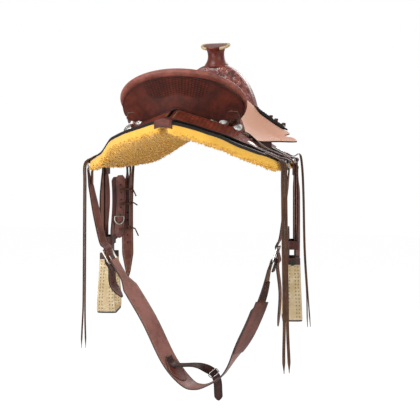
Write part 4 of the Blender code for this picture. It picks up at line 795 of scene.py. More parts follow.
def dimmed(colour: Colour, share: float) -> Colour:
    """A share of a colour's light."""
    return tuple(c * share for c in colour)


BASKET_DEPTH = 0.0011
LEAF_DEPTH = 0.0009
GROOVE_DEPTH = 0.0005
THREAD_RISE = 0.0007
HOLE_DEPTH = 0.0015
HOLE_PITCH = 0.025
# The holes' near-black is painted shade inside the punched holes.
HOLE_SHADE_COLOUR = (0.008, 0.006, 0.005)
LACE_PITCH = 0.0105
LACE_COLOUR = (0.16, 0.10, 0.055)
NECK_COLOUR = (0.055, 0.018, 0.013)
BOTTOM_BAND_COLOUR = (0.012, 0.011, 0.010)


class Finish:
    """A finish that makes its material once, so pieces whose finishes have one name share it."""

    name: str

    def material(self) -> bpy.types.Material:
        """The finish's material, made at its first use."""
        found = bpy.data.materials.get(self.name)
        if found is None:
            found = bpy.data.materials.new(self.name)
            found.use_nodes = True
            graph = Graph(found.node_tree)
            shader = graph.add("ShaderNodeBsdfPrincipled")
            out = graph.add("ShaderNodeOutputMaterial")
            graph.tree.links.new(shader.outputs[0], out.inputs[0])
            self.paint(graph, shader)
        return found

    def paint(self, g: Graph, shader: bpy.types.Node) -> None:
        """Feeds the shader; each kind of finish does it its own way."""
        raise NotImplementedError


@dataclass(frozen=True)
class Leather(Finish):
    """Oiled leather with grain, mottle, and optionally stamping, edge work and punched holes."""

    name: str
    base: Colour
    deep: Colour
    rough: float = 0.45
    gloss: float = 0.25
    cells: float = 1100.0
    relief: float = 0.00018
    stamp: Stamp = Stamp.NONE
    stamp_size: float = 0.010
    panel: tuple[float, float, float, float] | None = None
    stitch: Colour | None = None
    inset: float = 0.005
    pitch: float = 0.0048
    edge: Colour | None = None
    holes: tuple[float, float] | None = None

    def panel_share(self, g: Graph) -> bpy.types.NodeSocket | float:
        """1 inside the stamped panel, a squared ellipse on both sides of the map "Plan", and 0 outside it."""
        if self.panel is None:
            return 1.0
        u, v = g.uv("Plan")
        across, up, half, tall = self.panel
        p = g.over(g.minus(g.size(u), across), half)
        q = g.over(g.minus(v, up), tall)
        reach = g.plus(g.calc("POWER", g.size(p), 3.0), g.calc("POWER", g.size(q), 3.0))
        return g.inverse(g.ramp(reach, 0.72, 1.0))

    def paint(self, g: Graph, shader: bpy.types.Node) -> None:
        """Mottle, stamping with a painted highlight on its raised parts inside a panel, groove, thread, cut
        edge and holes over the base colour; heights into a bump.
        """
        grain = g.group(GRAIN, {"Cells": self.cells})
        colour = g.blend(grain.outputs["Mottle"], self.deep, self.base)
        height = g.times(grain.outputs["Height"], self.relief)
        rough = g.plus(self.rough - 0.05, g.times(grain.outputs["Height"], 0.14))
        if self.stamp is not Stamp.NONE:
            tree = BASKET if self.stamp is Stamp.BASKET else LEAF
            stamp = g.group(tree, {"Cell": self.stamp_size})
            share = self.panel_share(g)
            line = g.times(g.times(stamp.outputs["Line"], 0.75), share)
            colour = g.blend(line, colour, dimmed(self.deep, 0.45))
            deep = g.times(share, BASKET_DEPTH if self.stamp is Stamp.BASKET else LEAF_DEPTH)
            height = g.plus(height, g.times(stamp.outputs["Height"], deep))
            # Painted highlight: inside a panel the stamping's raised tops are blended towards a much lighter
            # colour, standing in for gloss.
            if self.panel:
                highlight_share = g.ramp(stamp.outputs["Height"], 0.72, 0.95)
                painted_highlight = tuple(min(1.0, c * 2.6 + 0.03) for c in self.base)
                colour = g.blend(g.times(g.times(highlight_share, share), 0.26), colour, painted_highlight)
        if self.edge or self.stitch:
            border = g.group(BORDER, {"Inset": self.inset, "Pitch": self.pitch})
            groove = border.outputs["Groove"]
            colour = g.blend(g.times(groove, 0.5), colour, dimmed(self.deep, 0.5))
            height = g.minus(height, g.times(groove, GROOVE_DEPTH))
            if self.edge:
                colour = g.blend(border.outputs["Rim"], colour, self.edge)
            if self.stitch:
                colour = g.blend(border.outputs["Stitch"], colour, self.stitch)
                height = g.plus(height, g.times(border.outputs["Stitch"], THREAD_RISE))
        if self.holes:
            start, end = self.holes
            hole = g.group(HOLES, {"Start": start, "End": end, "Pitch": HOLE_PITCH}).outputs[0]
            # The punched holes are filled with painted shade.
            colour = g.blend(hole, colour, HOLE_SHADE_COLOUR)
            height = g.minus(height, g.times(hole, HOLE_DEPTH))
        g.shade(shader, colour, rough, g.bump(height))
        shader.inputs["Specular IOR Level"].default_value = self.gloss


@dataclass(frozen=True)
class RoughOut(Finish):
    """The flesh side of leather: a soft nap with darker rubbed patches."""

    name: str
    base: Colour
    worn: Colour

    def paint(self, g: Graph, shader: bpy.types.Node) -> None:
        """Fine nap noise for height, slow noise between the two colours."""
        patch = g.ramp(g.noise(9.0, 4.0, 0.6), 0.38, 0.68)
        nap = g.noise(900.0, 4.0, 0.7)
        colour = g.blend(patch, self.worn, self.base)
        colour = g.blend(g.times(g.ramp(nap, 0.35, 0.7), 0.25), colour, dimmed(self.worn, 0.7))
        g.shade(shader, colour, g.plus(0.78, g.times(nap, 0.15)), g.bump(nap, 0.0006, 0.8))
        shader.inputs["Sheen Weight"].default_value = 0.25


@dataclass(frozen=True)
class Fleece(Finish):
    """Golden wool, lighter and darker gold in patches of noise: partly the fleece's own tone, partly painted
    shade between its locks.
    """

    name: str
    base: Colour
    deep: Colour

    def paint(self, g: Graph, shader: bpy.types.Node) -> None:
        """Two sizes of noise between the colours and a fibre bump."""
        clump = g.noise(95.0, 4.0, 0.65)
        fibre = g.noise(700.0, 3.0, 0.7)
        # The darker gold is partly painted shade between the locks, partly the fleece's own tone.
        share = g.ramp(g.plus(g.times(clump, 0.85), g.times(fibre, 0.15)), 0.30, 0.58)
        normal = g.bump(g.plus(clump, g.times(fibre, 0.4)), 0.0012, 0.6)
        g.shade(shader, g.blend(share, self.deep, self.base), g.plus(0.85, g.times(fibre, 0.1)), normal)
        shader.inputs["Sheen Weight"].default_value = 0.4


@dataclass(frozen=True)
class Rawhide(Finish):
    """Cream rawhide over the stirrup: dark leather round its neck, black along its lowest few millimetres,
    laced edges.
    """

    name: str
    base: Colour
    neck_above: float | None = None
    sole_below: float | None = None

    def paint(self, g: Graph, shader: bpy.types.Node) -> None:
        """Height along the object picks the black bottom band, hide or neck; the map "Edge" places the
        lacing.
        """
        place = g.place()
        z = g.add("ShaderNodeSeparateXYZ", {0: place}).outputs["Z"]
        stain = g.ramp(g.noise(38.0, 5.0, 0.65), 0.35, 0.75)
        fine = g.noise(420.0, 4.0, 0.6)
        colour = g.blend(stain, tuple(c * f for c, f in zip(self.base, (0.74, 0.66, 0.52))), self.base)
        height = g.times(fine, 0.0004)
        if self.sole_below is not None:
            run, distance = g.uv("Edge")
            phase = g.calc("FRACT", g.over(run, LACE_PITCH))
            dash = g.inverse(g.ramp(g.size(g.minus(phase, 0.5)), 0.14, 0.24))
            apart = g.minus(g.size(g.minus(distance, 0.0125)), 0.0045)
            row = g.inverse(g.ramp(g.size(apart), 0.0010, 0.0022))
            lace = g.times(dash, row)
            colour = g.blend(g.times(lace, 0.8), colour, LACE_COLOUR)
            height = g.minus(height, g.times(lace, 0.0008))
            colour = g.blend(g.calc("GREATER_THAN", z, self.neck_above), colour, NECK_COLOUR)
            # The stirrup's lowest few millimetres are black.
            colour = g.blend(g.calc("LESS_THAN", z, self.sole_below), colour, BOTTOM_BAND_COLOUR)
        g.shade(shader, colour, g.plus(0.42, g.times(fine, 0.25)), g.bump(height))


@dataclass(frozen=True)
class Steel(Finish):
    """Brushed stainless steel with fine scratches and dulled hollows."""

    name: str
    base: Colour
    engraved: bool = False

    def paint(self, g: Graph, shader: bpy.types.Node) -> None:
        """Stretched noise for brushing, slow noise for tarnish."""
        brush = g.noise(600.0, 2.0, 0.6)
        dull = g.ramp(g.noise(60.0, 4.0, 0.6), 0.3, 0.75)
        colour = g.blend(dull, dimmed(self.base, 0.62), self.base)
        height = g.times(brush, 0.00004)
        if self.engraved:
            leaf = g.group(LEAF, {"Cell": 120.0})
            height = g.plus(height, g.times(leaf.outputs["Height"], 0.0004))
        g.shade(shader, colour, g.plus(0.20, g.times(brush, 0.22)), g.bump(height))
        shader.inputs["Metallic"].default_value = 1.0


@dataclass(frozen=True)
class Wood(Finish):
    """The tree's rawhide-skinned pine, with long grain; its colour is a dark brown that is painted shade, as
    the tree shows only in the shaded gaps between the leathers.
    """

    name: str
    base: Colour

    def paint(self, g: Graph, shader: bpy.types.Node) -> None:
        """Wave bands bent by noise, as grain."""
        inputs = {"Vector": g.place(), "Scale": 30.0, "Distortion": 6.0, "Detail": 3.0}
        wave = g.add("ShaderNodeTexWave", inputs).outputs[1]
        colour = g.blend(wave, dimmed(self.base, 0.6), self.base)
        g.shade(shader, colour, g.plus(0.5, g.times(wave, 0.15)), g.bump(wave, 0.0003))


BROWN = (0.185, 0.050, 0.034)
DEEP = (0.090, 0.022, 0.015)
BLACK = (0.016, 0.012, 0.011)
THREAD = (0.42, 0.30, 0.17)
STIRRUP_HIDE = (0.66, 0.55, 0.36)

PLAIN = Leather("plain_leather", BROWN, DEEP)
EDGED = Leather("edged_leather", BROWN, DEEP, edge=BLACK)
HOLED = Leather("holed_leather", (0.215, 0.080, 0.064), (0.105, 0.034, 0.026), stitch=THREAD, edge=BLACK)
LINING = Leather("lining_leather", (0.200, 0.062, 0.042), (0.110, 0.032, 0.022), gloss=0.35, edge=BLACK)
EDGED_KEEPER = Leather("keeper_leather", (0.170, 0.040, 0.028), (0.090, 0.020, 0.014), gloss=0.40,
                       stitch=THREAD, inset=0.0035, edge=BLACK)
ROLL = Leather("roll_leather", (0.275, 0.084, 0.060), (0.140, 0.036, 0.025), rough=0.38, gloss=0.35,
               stitch=(0.05, 0.02, 0.015))
# The basket and carved leathers' panels carry a painted highlight on their raised stamping.
TOOLED = Leather("basket_leather", (0.100, 0.017, 0.008), (0.040, 0.007, 0.004), rough=0.44, gloss=0.13,
                 stamp=Stamp.BASKET, stamp_size=0.0085, panel=(0.0, 0.084, 0.092, 0.042), edge=BLACK)
CARVED = Leather("carved_leather", (0.260, 0.066, 0.048), (0.140, 0.032, 0.022), rough=0.22, gloss=0.70,
                 stamp=Stamp.LEAF, stamp_size=30.0, panel=(0.120, 0.048, 0.110, 0.034))
HORN = Leather("horn_leather", (0.230, 0.046, 0.030), (0.115, 0.023, 0.015), rough=0.28, gloss=0.32)
SKIRT = Leather("skirt_leather", (0.034, 0.017, 0.013), (0.018, 0.010, 0.009), rough=0.50, gloss=0.22,
                stitch=THREAD, edge=BLACK, inset=0.007)
JOCKEY = Leather("jockey_leather", (0.250, 0.052, 0.028), (0.120, 0.025, 0.014), rough=0.44, gloss=0.10,
                 stamp=Stamp.BASKET, stitch=THREAD, edge=BLACK, inset=0.008)
BLACK_EDGE = Leather("black_edge", (0.018, 0.014, 0.012), (0.010, 0.008, 0.008), rough=0.42, gloss=0.20)
DARK_STRAP = Leather("dark_strap", (0.070, 0.021, 0.015), (0.034, 0.012, 0.009))
CINCH = Leather("cinch_leather", (0.300, 0.125, 0.102), (0.185, 0.068, 0.054), rough=0.44, gloss=0.45,
                relief=0.0004, cells=520.0, stitch=THREAD, edge=BLACK, inset=0.006)
LACE = Leather("string_leather", (0.110, 0.048, 0.024), (0.055, 0.024, 0.013), rough=0.5, gloss=0.20,
               cells=900.0)
FENDER = Leather("fender_leather", (0.330, 0.130, 0.090), (0.190, 0.066, 0.046), rough=0.50, stitch=THREAD,
                 edge=BLACK, inset=0.007)
EDGE_FREE = Leather("hanger_leather", (0.120, 0.036, 0.026), (0.060, 0.018, 0.014))
NAP = RoughOut("rough_out", (0.430, 0.155, 0.060), (0.310, 0.108, 0.042))
WOOL = Fleece("golden_wool", (0.76, 0.42, 0.050), (0.72, 0.38, 0.042))
HIDE = Rawhide("rawhide_lace", (0.70, 0.58, 0.36))
STEEL = Steel("brushed_steel", (0.66, 0.65, 0.62))
DULL_STEEL = Steel("blackened_steel", (0.070, 0.065, 0.060))
SILVER = Steel("engraved_silver", (0.72, 0.70, 0.66), engraved=True)
# Painted shade: the pale rawhide-skinned tree is given a dark brown, as it shows only in shaded gaps.
TREE_IN_SHADE = Wood("tree_wood_in_shade", (0.120, 0.060, 0.035))


def dress(item: bpy.types.Object, *finishes: Finish) -> None:
    """Puts the finishes in an object's material slots, in order."""
    made = [finish.material() for finish in finishes]
    if len(item.data.materials) == 0:
        for material in made:
            item.data.materials.append(material)
    for index in range(len(item.data.materials)):
        item.data.materials[index] = made[min(index, len(made) - 1)]


def settle(item: bpy.types.Object, body: str, slot: str, *nodes: str) -> None:
    """Makes a piece ride on its body and lets it stand for its CAD nodes."""
    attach(item, body)
    if nodes:
        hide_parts(*nodes)
    LOG.info("%s rides on %s", item.name, body)


@dataclass(frozen=True)
class Lamp:
    """A square soft lamp: where it is, how wide and how strong."""

    name: str
    place: tuple[float, float, float]
    size: float
    power: float


LAMPS = (Lamp("key", (-1.6, -2.2, 2.6), 1.6, 78.0), Lamp("fill", (2.8, -1.8, 0.8), 1.8, 30.0),
         Lamp("under", (-0.9, -2.4, -0.75), 1.8, 58.0), Lamp("front", (0.8, 2.6, 1.8), 1.8, 40.0))


@dataclass
class Studio:
    """The camera at the photograph's place, the pale floor, the white surround and the soft lamps."""

    turn: float = math.radians(15.0)
    distance: float = 3.0
    aside: float = 0.029
    eye_height: float = -0.015
    focal_pixels: float = 951.0
    frame_pixels: float = 420.0
    horizon: float = 155.0
    sensor: float = 36.0
    lit_middle: float = -0.1
    dim_world: float = 0.42
    gloss_share: float = 0.10
    floor_z: float = -1.0
    floor_half: float = 9.0
    floor_colour: Colour = (0.90, 0.90, 0.90)
    floor_glow: float = 1.09
    glow_share: float = 0.86

    def make_camera(self) -> None:
        """A level camera behind the saddle, turned to its off side; a vertical shift frames the picture."""
        right = Vector((math.cos(self.turn), math.sin(self.turn), 0))
        ahead = Vector((-math.sin(self.turn), math.cos(self.turn), 0))
        data = bpy.data.cameras.new("camera")
        data.sensor_width = self.sensor
        data.sensor_fit = "HORIZONTAL"
        data.lens = self.focal_pixels / self.frame_pixels * data.sensor_width
        data.shift_y = (self.horizon - self.frame_pixels / 2) / self.frame_pixels
        camera = linked("camera", data)
        camera.location = right * self.aside - ahead * self.distance + Vector((0, 0, self.eye_height))
        camera.rotation_euler = ahead.to_track_quat("-Z", "Y").to_euler()
        bpy.context.scene.camera = camera

    def make_lights(self) -> None:
        """The lamps, each aimed at the saddle's middle."""
        middle = Vector((0, 0, self.lit_middle))
        for lamp in LAMPS:
            data = bpy.data.lights.new(lamp.name, "AREA")
            data.shape = "SQUARE"
            data.size = lamp.size
            data.energy = lamp.power
            item = linked(lamp.name, data)
            item.location = lamp.place
            item.rotation_euler = (middle - Vector(lamp.place)).to_track_quat("-Z", "Y").to_euler()

    def make_surround(self) -> None:
        """A white world for the camera and for gloss, a softer one for light, and the floor."""
        world = bpy.data.worlds.new("surround")
        bpy.context.scene.world = world
        world.use_nodes = True
        graph = Graph(world.node_tree)
        path = graph.add("ShaderNodeLightPath")
        direct = graph.calc("MAXIMUM", path.outputs["Is Camera Ray"], path.outputs["Is Transmission Ray"])
        seen = graph.calc("MAXIMUM", direct, graph.times(path.outputs["Is Glossy Ray"], self.gloss_share))
        strength = graph.plus(self.dim_world, graph.times(seen, 1 - self.dim_world))
        back = graph.add("ShaderNodeBackground", {"Color": (1.0, 1.0, 1.0), "Strength": strength})
        graph.tree.links.new(back.outputs[0], graph.add("ShaderNodeOutputWorld").inputs[0])
        ends = (-self.floor_half, self.floor_half)
        corners = np.array([[(x, y, self.floor_z) for x in ends] for y in ends])
        floor = grid_piece("floor", corners, {}, True)
        material = bpy.data.materials.new("pale_floor")
        material.use_nodes = True
        graph = Graph(material.node_tree)
        seen = graph.add("ShaderNodeLightPath").outputs["Is Camera Ray"]
        plain = graph.add("ShaderNodeBsdfDiffuse", {"Color": self.floor_colour})
        glow = graph.add("ShaderNodeEmission", {"Color": (1.0, 1.0, 1.0), "Strength": self.floor_glow})
        share = graph.times(seen, self.glow_share)
        mixed = graph.add("ShaderNodeMixShader", {0: share, 1: plain.outputs[0], 2: glow.outputs[0]})
        graph.tree.links.new(mixed.outputs[0], graph.add("ShaderNodeOutputMaterial").inputs[0])
        floor.data.materials.append(material)

    def build(self) -> None:
        """Camera, lamps and surround."""
        self.make_camera()
        self.make_lights()
        self.make_surround()
        bpy.context.scene.view_settings.view_transform = "Standard"


@dataclass
class Strings:
    """The saddle strings: pairs of thin laces that hang from the jockeys."""

    thickness: float = 0.0026
    width: float = 0.0115
    pair_width: float = 0.022
    rear_x: float = 0.3035
    rear_y: float = -0.208
    front_x: float = 0.292
    front_y: float = 0.186
    tail: float = 0.16
    tail_spread: float = 0.0024
    tail_sway: float = 0.0016
    rear_hang: tuple[float, float, float] = (0.72, 0.69, 0.0)
    front_hang: tuple[float, float, float] = (0.45, 0.89, 0.0)

    def route(self, place: str, side: Side) -> Array:
        """The middle line of one string, from its leather over the skirt's edge and down."""
        layer, near = FORM.layer, side is Side.NEAR
        if place == "rear":
            x, y, end = self.rear_x, self.rear_y, -0.600 if near else -0.640
            start = (0.252, y, float(FORM.back(0.252, y)) + self.thickness / 2 + layer)
            edge = (0.280, y - 0.002, float(FORM.back(0.280, y - 0.002)) + self.thickness / 2 + layer * 2)
            points = [start, edge, (x, y - 0.003, -0.042), (x + 0.002, y - 0.002, -0.110),
                      (x + 0.004, y, -0.300), (x + 0.006, y + 0.002, -0.460), (x + 0.008, y + 0.002, end)]
        else:
            x, y, end = self.front_x, self.front_y, -0.410 if near else -0.575
            top = float(FORM.front_jockey(0.240, y)) + FORM.seat + self.thickness + 0.001
            points = [(0.240, y, top), (0.264, y, top - 0.011), (x - 0.008, y, -0.012), (x, y, -0.060),
                      (x + 0.004, y, -0.150), (x + 0.008, y, 0.5 * end - 0.04), (x + 0.018, y, 0.85 * end),
                      (x + 0.022, y, end)]
        return curve_through(np.array(points) * side.mirror, 90)

    def make(self, place: str, side: Side) -> None:
        """Two laces side by side that part and curl a little at their pointed tails."""
        name = f"string_{place}_{side.word}"
        width = self.pair_width if place == "rear" and side is Side.OFF else self.width
        path = self.route(place, side)
        run = lengths(path)
        steep = np.abs(unit(np.gradient(path, axis=0))[:, 2])
        flat = eased((steep - 0.5) / 0.4)[:, None]
        hung = np.array(self.rear_hang if place == "rear" else self.front_hang)
        sides = unit(hung * flat + np.array((0.0, 1.0, 0.0)) * (1 - flat))
        tail = eased((run - run[-1] + self.tail) / self.tail)
        laces = []
        for k, sign in enumerate((-1, 1)):
            half = (width / 4 - 0.0003) * np.clip((run[-1] - run) / 0.03, 0.12, 1.0)
            spread = width / 4 + tail * self.tail_spread
            sway = np.sin(run * 19.0 + 2.0 * k)[:, None] * tail[:, None] * self.tail_sway
            line = path + sides * (sign * spread)[:, None] + np.array((1.0, 0.0, 0.0)) * sway
            laces.append(strap_piece(f"{name}_{k}", line, sides, half, self.thickness, flat_section(13, 0.5)))
        item = joined(f"{name}_laces", laces)
        dress(item, LACE)
        settle(item, "saddle", "leather", name)

    def build(self) -> None:
        """All four strings."""
        for side in Side:
            self.make("rear", side)
            self.make("front", side)


@dataclass
class Skirts:
    """The square skirts, their wool and the strap that ties them at the back."""

    inner: float = 0.0032
    rear: float = -0.384
    front: float = 0.262
    corner_x: float = 0.292
    corner_y: float = -0.215
    front_x: float = 0.248
    radius: float = 0.035
    wool_depth: float = 0.019
    rear_wool: float = 0.0180
    wool_proud: float = 0.004
    channel: float = 0.014
    middle: tuple[float, float] = (0.16, -0.06)
    rim_end: float = -0.228
    rim_fade: float = 0.030
    rim_tall: float = 0.0125
    rim_proud: float = 0.0052
    rim_thick: float = 0.0016
    rear_reach: float = 0.080
    lump: float = 0.0046
    waves: tuple = ((310, 270, 0.3, 1.1), (530, 610, 2.0, 0.4), (820, 760, 1.2, 2.6), (150, 130, 0.0, 0.7))
    tufts: int = 9000
    lock_long: tuple[float, float] = (0.0035, 0.0078)
    lock_thick: tuple[float, float] = (0.0014, 0.0028)
    tie_half: float = 0.026

    def outline(self) -> list:
        """Half of the skirts in plan, for the off side."""
        r = self.radius
        rise = math.degrees(math.atan2(self.corner_y - self.rear, self.corner_x))
        corner = arc(self.corner_x - r, self.corner_y + r * 0.9, r, -90 + rise * 0.9, 4, 7)
        front = arc(self.front_x - 2 * r, self.front - 2 * r, 2 * r, 12, 90, 6)
        return ([(self.inner, self.rear + 0.002), (0.030, self.rear + 0.003), (0.120, self.rear + 0.042)]
                + corner + [(self.corner_x - 0.006, 0.03)] + front
                + [(0.100, self.front - 0.004), (0.050, self.front - 0.045), (self.inner + 0.004, 0.110),
                   (self.inner, -0.10)])

    def make_skirt(self, side: Side) -> None:
        """The leather: the filled outline raised to the back's surface, with a black rim."""
        ring = rounded(self.outline(), 300, 0.010)
        item = raised_sheet("skirt_leather_" + side.word, ring, 0.0055, form_of(side).curled, side.mirror)
        dress(item, SKIRT, BLACK_EDGE)
        thicken(item, FORM.skirt, -1, 0.0016)
        settle(item, "saddle", "dark_leather", "skirt_" + side.word)

    def make_rim(self, side: Side) -> None:
        """The black binding folded over the skirt's rear edge, tapering off at the corner."""
        ring = rounded(self.outline(), 300, 0.010)
        edge = ring[(ring[:, 1] < self.rim_end) & (ring[:, 0] > 0.008)]
        edge = edge[np.argsort(edge[:, 0])]
        away = unit(edge - np.array(self.middle))
        tall = self.rim_tall * (0.30 + 0.70 * eased((self.rim_end - edge[:, 1]) / self.rim_fade))
        steps = ((-0.006, 0.0009, 0.0), (0.5 * self.rim_proud, 0.0006, 0.0), (self.rim_proud, -0.0014, 0.0),
                 (self.rim_proud, 0.0, -0.55), (self.rim_proud - 0.0004, 0.0, -1.0))
        form = form_of(side).curled
        rows = [on_surface(edge + away * out, form) + UP * (rise + share * tall)[:, None]
                for out, rise, share in steps]
        points = np.stack(rows, axis=1) * side.mirror
        run = lengths(points[:, 0])[:, None].repeat(len(steps), 1)
        down = lengths(points[len(points) // 2])[None].repeat(len(points), 0)
        maps = edge_and_plan((run, np.minimum(down, down[:, -1:] - down)), (run, down))
        item = grid_piece("skirt_rim_" + side.word, points, maps)
        flip_to(item, (0.2 * side.value, -1, 0.6))
        dress(item, BLACK_EDGE)
        thicken(item, self.rim_thick, -1, 0.0005)
        settle(item, "saddle", "dark_leather")

    def wool_ring(self) -> Array:
        """The wool's outline: the skirt's, drawn out a little and open over the spine."""
        ring = rounded(self.outline(), 300, 0.012)
        away = unit(ring - np.array(self.middle))
        ring = ring + away * self.wool_proud
        ring[:, 0] = np.maximum(ring[:, 0], self.channel)
        return rounded(ring, 300, 0.004)

    def underside(self, plan: Array, distance: Array, side: Side) -> Array:
        """The pile's lower face: thinner towards its rim, and lumpy by four waves of different lengths."""
        rear = np.clip(1 - FORM.rear_gap(plan[..., 0], plan[..., 1]) / self.rear_reach, 0, 1) ** 1.5
        depth = self.wool_depth * (0.66 + 0.34 * eased(distance / 0.028)) + self.rear_wool * rear
        x, y = plan[..., 0], plan[..., 1]
        wave = sum(np.sin(x * a + y * 40 + p) * np.sin(y * b - x * 55 + q) for a, b, p, q in self.waves) / 4
        drop = -FORM.skirt - 2 * FORM.layer - depth + self.lump * wave * eased(distance / 0.004)
        return on_surface(plan, form_of(side).curled) + UP * drop[..., None]

    def make_wool(self, side: Side) -> None:
        """The pile: its lumpy underside, a flat top and the wall between them, with loose locks all over."""
        ring = self.wool_ring()
        seed = np.random.default_rng(7 if side is Side.NEAR else 8)
        plan, triangles = filled(ring, 0.0042)
        edge = nearest_edge(plan, ring)
        low = self.underside(plan, edge[:, 1], side) * side.mirror
        high = on_surface(plan, form_of(side).curled) + np.array((0, 0, -FORM.skirt - FORM.layer))
        high = high * side.mirror
        item = closed_pad("wool_" + side.word, ring, plan, triangles, low, high, 0.0035, side,
                          [self.make_locks(side, plan, edge, seed)])
        dress(item, WOOL)
        settle(item, "saddle", "wool", "sheepskin_" + side.word)

    def make_locks(self, side: Side, plan: Array, edge: Array, seed: np.random.Generator) -> bpy.types.Object:
        """Thousands of small curled locks, each a bent three-sided spike rooted in the underside."""
        weight = 1.0 + 2.5 * (edge[:, 1] < 0.012)
        chosen = seed.choice(len(plan), self.tufts, p=weight / weight.sum())
        place = plan[chosen] + seed.normal(0, 0.0018, (self.tufts, 2))
        distance = np.maximum(edge[chosen, 1], 0.0)
        root = self.underside(place, distance, side) + np.array((0, 0, 0.0006))
        near = eased(1 - distance / 0.016)[:, None]
        outward = unit(place - np.array(self.middle))
        outward = np.concatenate([outward, 0 * outward[:, :1]], axis=1)
        root = root + UP * near * seed.random((self.tufts, 1)) * self.wool_depth * 0.45
        lean = outward * near * 1.3 + seed.normal(0, 0.5, (self.tufts, 3))
        aim = unit(lean * 0.9 + np.array((0, 0, -1.0)) * (1.15 - 0.75 * near))
        length = seed.uniform(*self.lock_long, (self.tufts, 1))
        across = unit(np.cross(aim, np.array((0.3, 0.9, 0.2))))
        other = np.cross(aim, across)
        thick = seed.uniform(*self.lock_thick, (self.tufts, 1))
        bend = across * seed.normal(0, 0.40, (self.tufts, 1)) + other * seed.normal(0, 0.40, (self.tufts, 1))
        turn = np.radians((0, 120, 240))
        base = [root + (across * math.cos(a) + other * math.sin(a)) * thick for a in turn]
        waist = [root + aim * length * 0.55 + bend * length * 0.3
                 + (across * math.cos(a) + other * math.sin(a)) * thick * 0.75 for a in turn]
        tip = root + aim * length + bend * length
        points = np.stack([*base, *waist, tip], axis=1).reshape(-1, 3) * side.mirror
        start = (np.arange(self.tufts) * 7)[:, None, None]
        sides = (start + np.array([(0, 1, 4, 3), (1, 2, 5, 4), (2, 0, 3, 5)])[None]).reshape(-1, 4)
        ends = (start + np.array([(3, 4, 6), (4, 5, 6), (5, 3, 6), (0, 2, 1)])[None]).reshape(-1, 3)
        mesh = bpy.data.meshes.new("locks")
        mesh.from_pydata(points.tolist(), [], sides.tolist() + ends.tolist())
        return linked("locks_" + side.word, mesh)

    def make_tie(self) -> None:
        """The strap folded over the skirts' rear edges, its width following both slopes."""
        rear = self.rear + 0.0015
        z = float(FORM.curled(np.array(0.0), np.array(rear)))
        outer = FORM.strap / 2 + 0.0004
        line = curve_through([(0.0, rear + 0.062, z + outer + 0.004), (0.0, rear + 0.020, z + outer + 0.0012),
                              (0.0, rear - 0.0035, z + 0.002), (0.0, rear - 0.0062, z - 0.006),
                              (0.0, rear - 0.0060, z - 0.020)], 40)
        half = self.tie_half
        across = np.linspace(-half, half, 27)
        fall = FORM.slope * np.sqrt(across ** 2 + 2e-5)
        points = line[:, None] + np.stack([across, 0 * across, -fall], axis=1)[None]
        run = lengths(line)[:, None].repeat(27, 1)
        place = across[None].repeat(40, 0)
        edge = np.minimum(half - np.abs(place), run[-1, 0] - run)
        item = grid_piece("skirt_tie", points, edge_and_plan((run, edge), (run, place)), True)
        dress(item, EDGED)
        thicken(item, FORM.strap, 0)
        settle(item, "saddle", "leather", "skirt_connector")

    def build(self) -> None:
        """Both skirts, both wools and the tie."""
        for side in Side:
            self.make_skirt(side)
            self.make_rim(side)
            self.make_wool(side)
        self.make_tie()


@dataclass
class Bars:
    """The tree's two bars, their ends planed thin so that the leathers lie down over them."""

    rear: float = -0.3155
    front: float = 0.265

    def outline(self) -> list:
        """A bar in plan, off side: a wide pad at each end and a narrower waist."""
        rear = arc(0.084, self.rear + 0.048, 0.047, 195, 345, 10)
        front = arc(0.086, self.front - 0.046, 0.045, 15, 165, 10)
        return rear + [(0.127, -0.10), (0.121, 0.06)] + front + [(0.051, 0.06), (0.045, -0.10)]

    def make(self, side: Side) -> None:
        """Crowned across by a sine, and thinned towards its rear end by the distance to it."""
        ring = rounded(self.outline(), 200, 0.006)
        plan, triangles = filled(ring, 0.0065)
        crown = 0.55 + 0.45 * np.sin(math.pi * np.clip((plan[:, 0] - 0.040) / 0.092, 0, 1))
        thin = 0.22 + 0.78 * eased((plan[:, 1] - self.rear) / 0.070)
        soft = 0.55 + 0.45 * eased(nearest_edge(plan, ring)[:, 1] / 0.012)
        low = on_surface(plan, FORM.back, FORM.layer)
        high = low + UP * (FORM.bar_depth * crown * thin * soft)[:, None]
        item = closed_pad("tree_bar_wood_" + side.word, ring, plan, triangles, low * side.mirror,
                          high * side.mirror, 0.0, side, [])
        dress(item, TREE_IN_SHADE)
        settle(item, "saddle", "wood", "tree_bar_" + side.word)

    def build(self) -> None:
        """Both bars."""
        for side in Side:
            self.make(side)


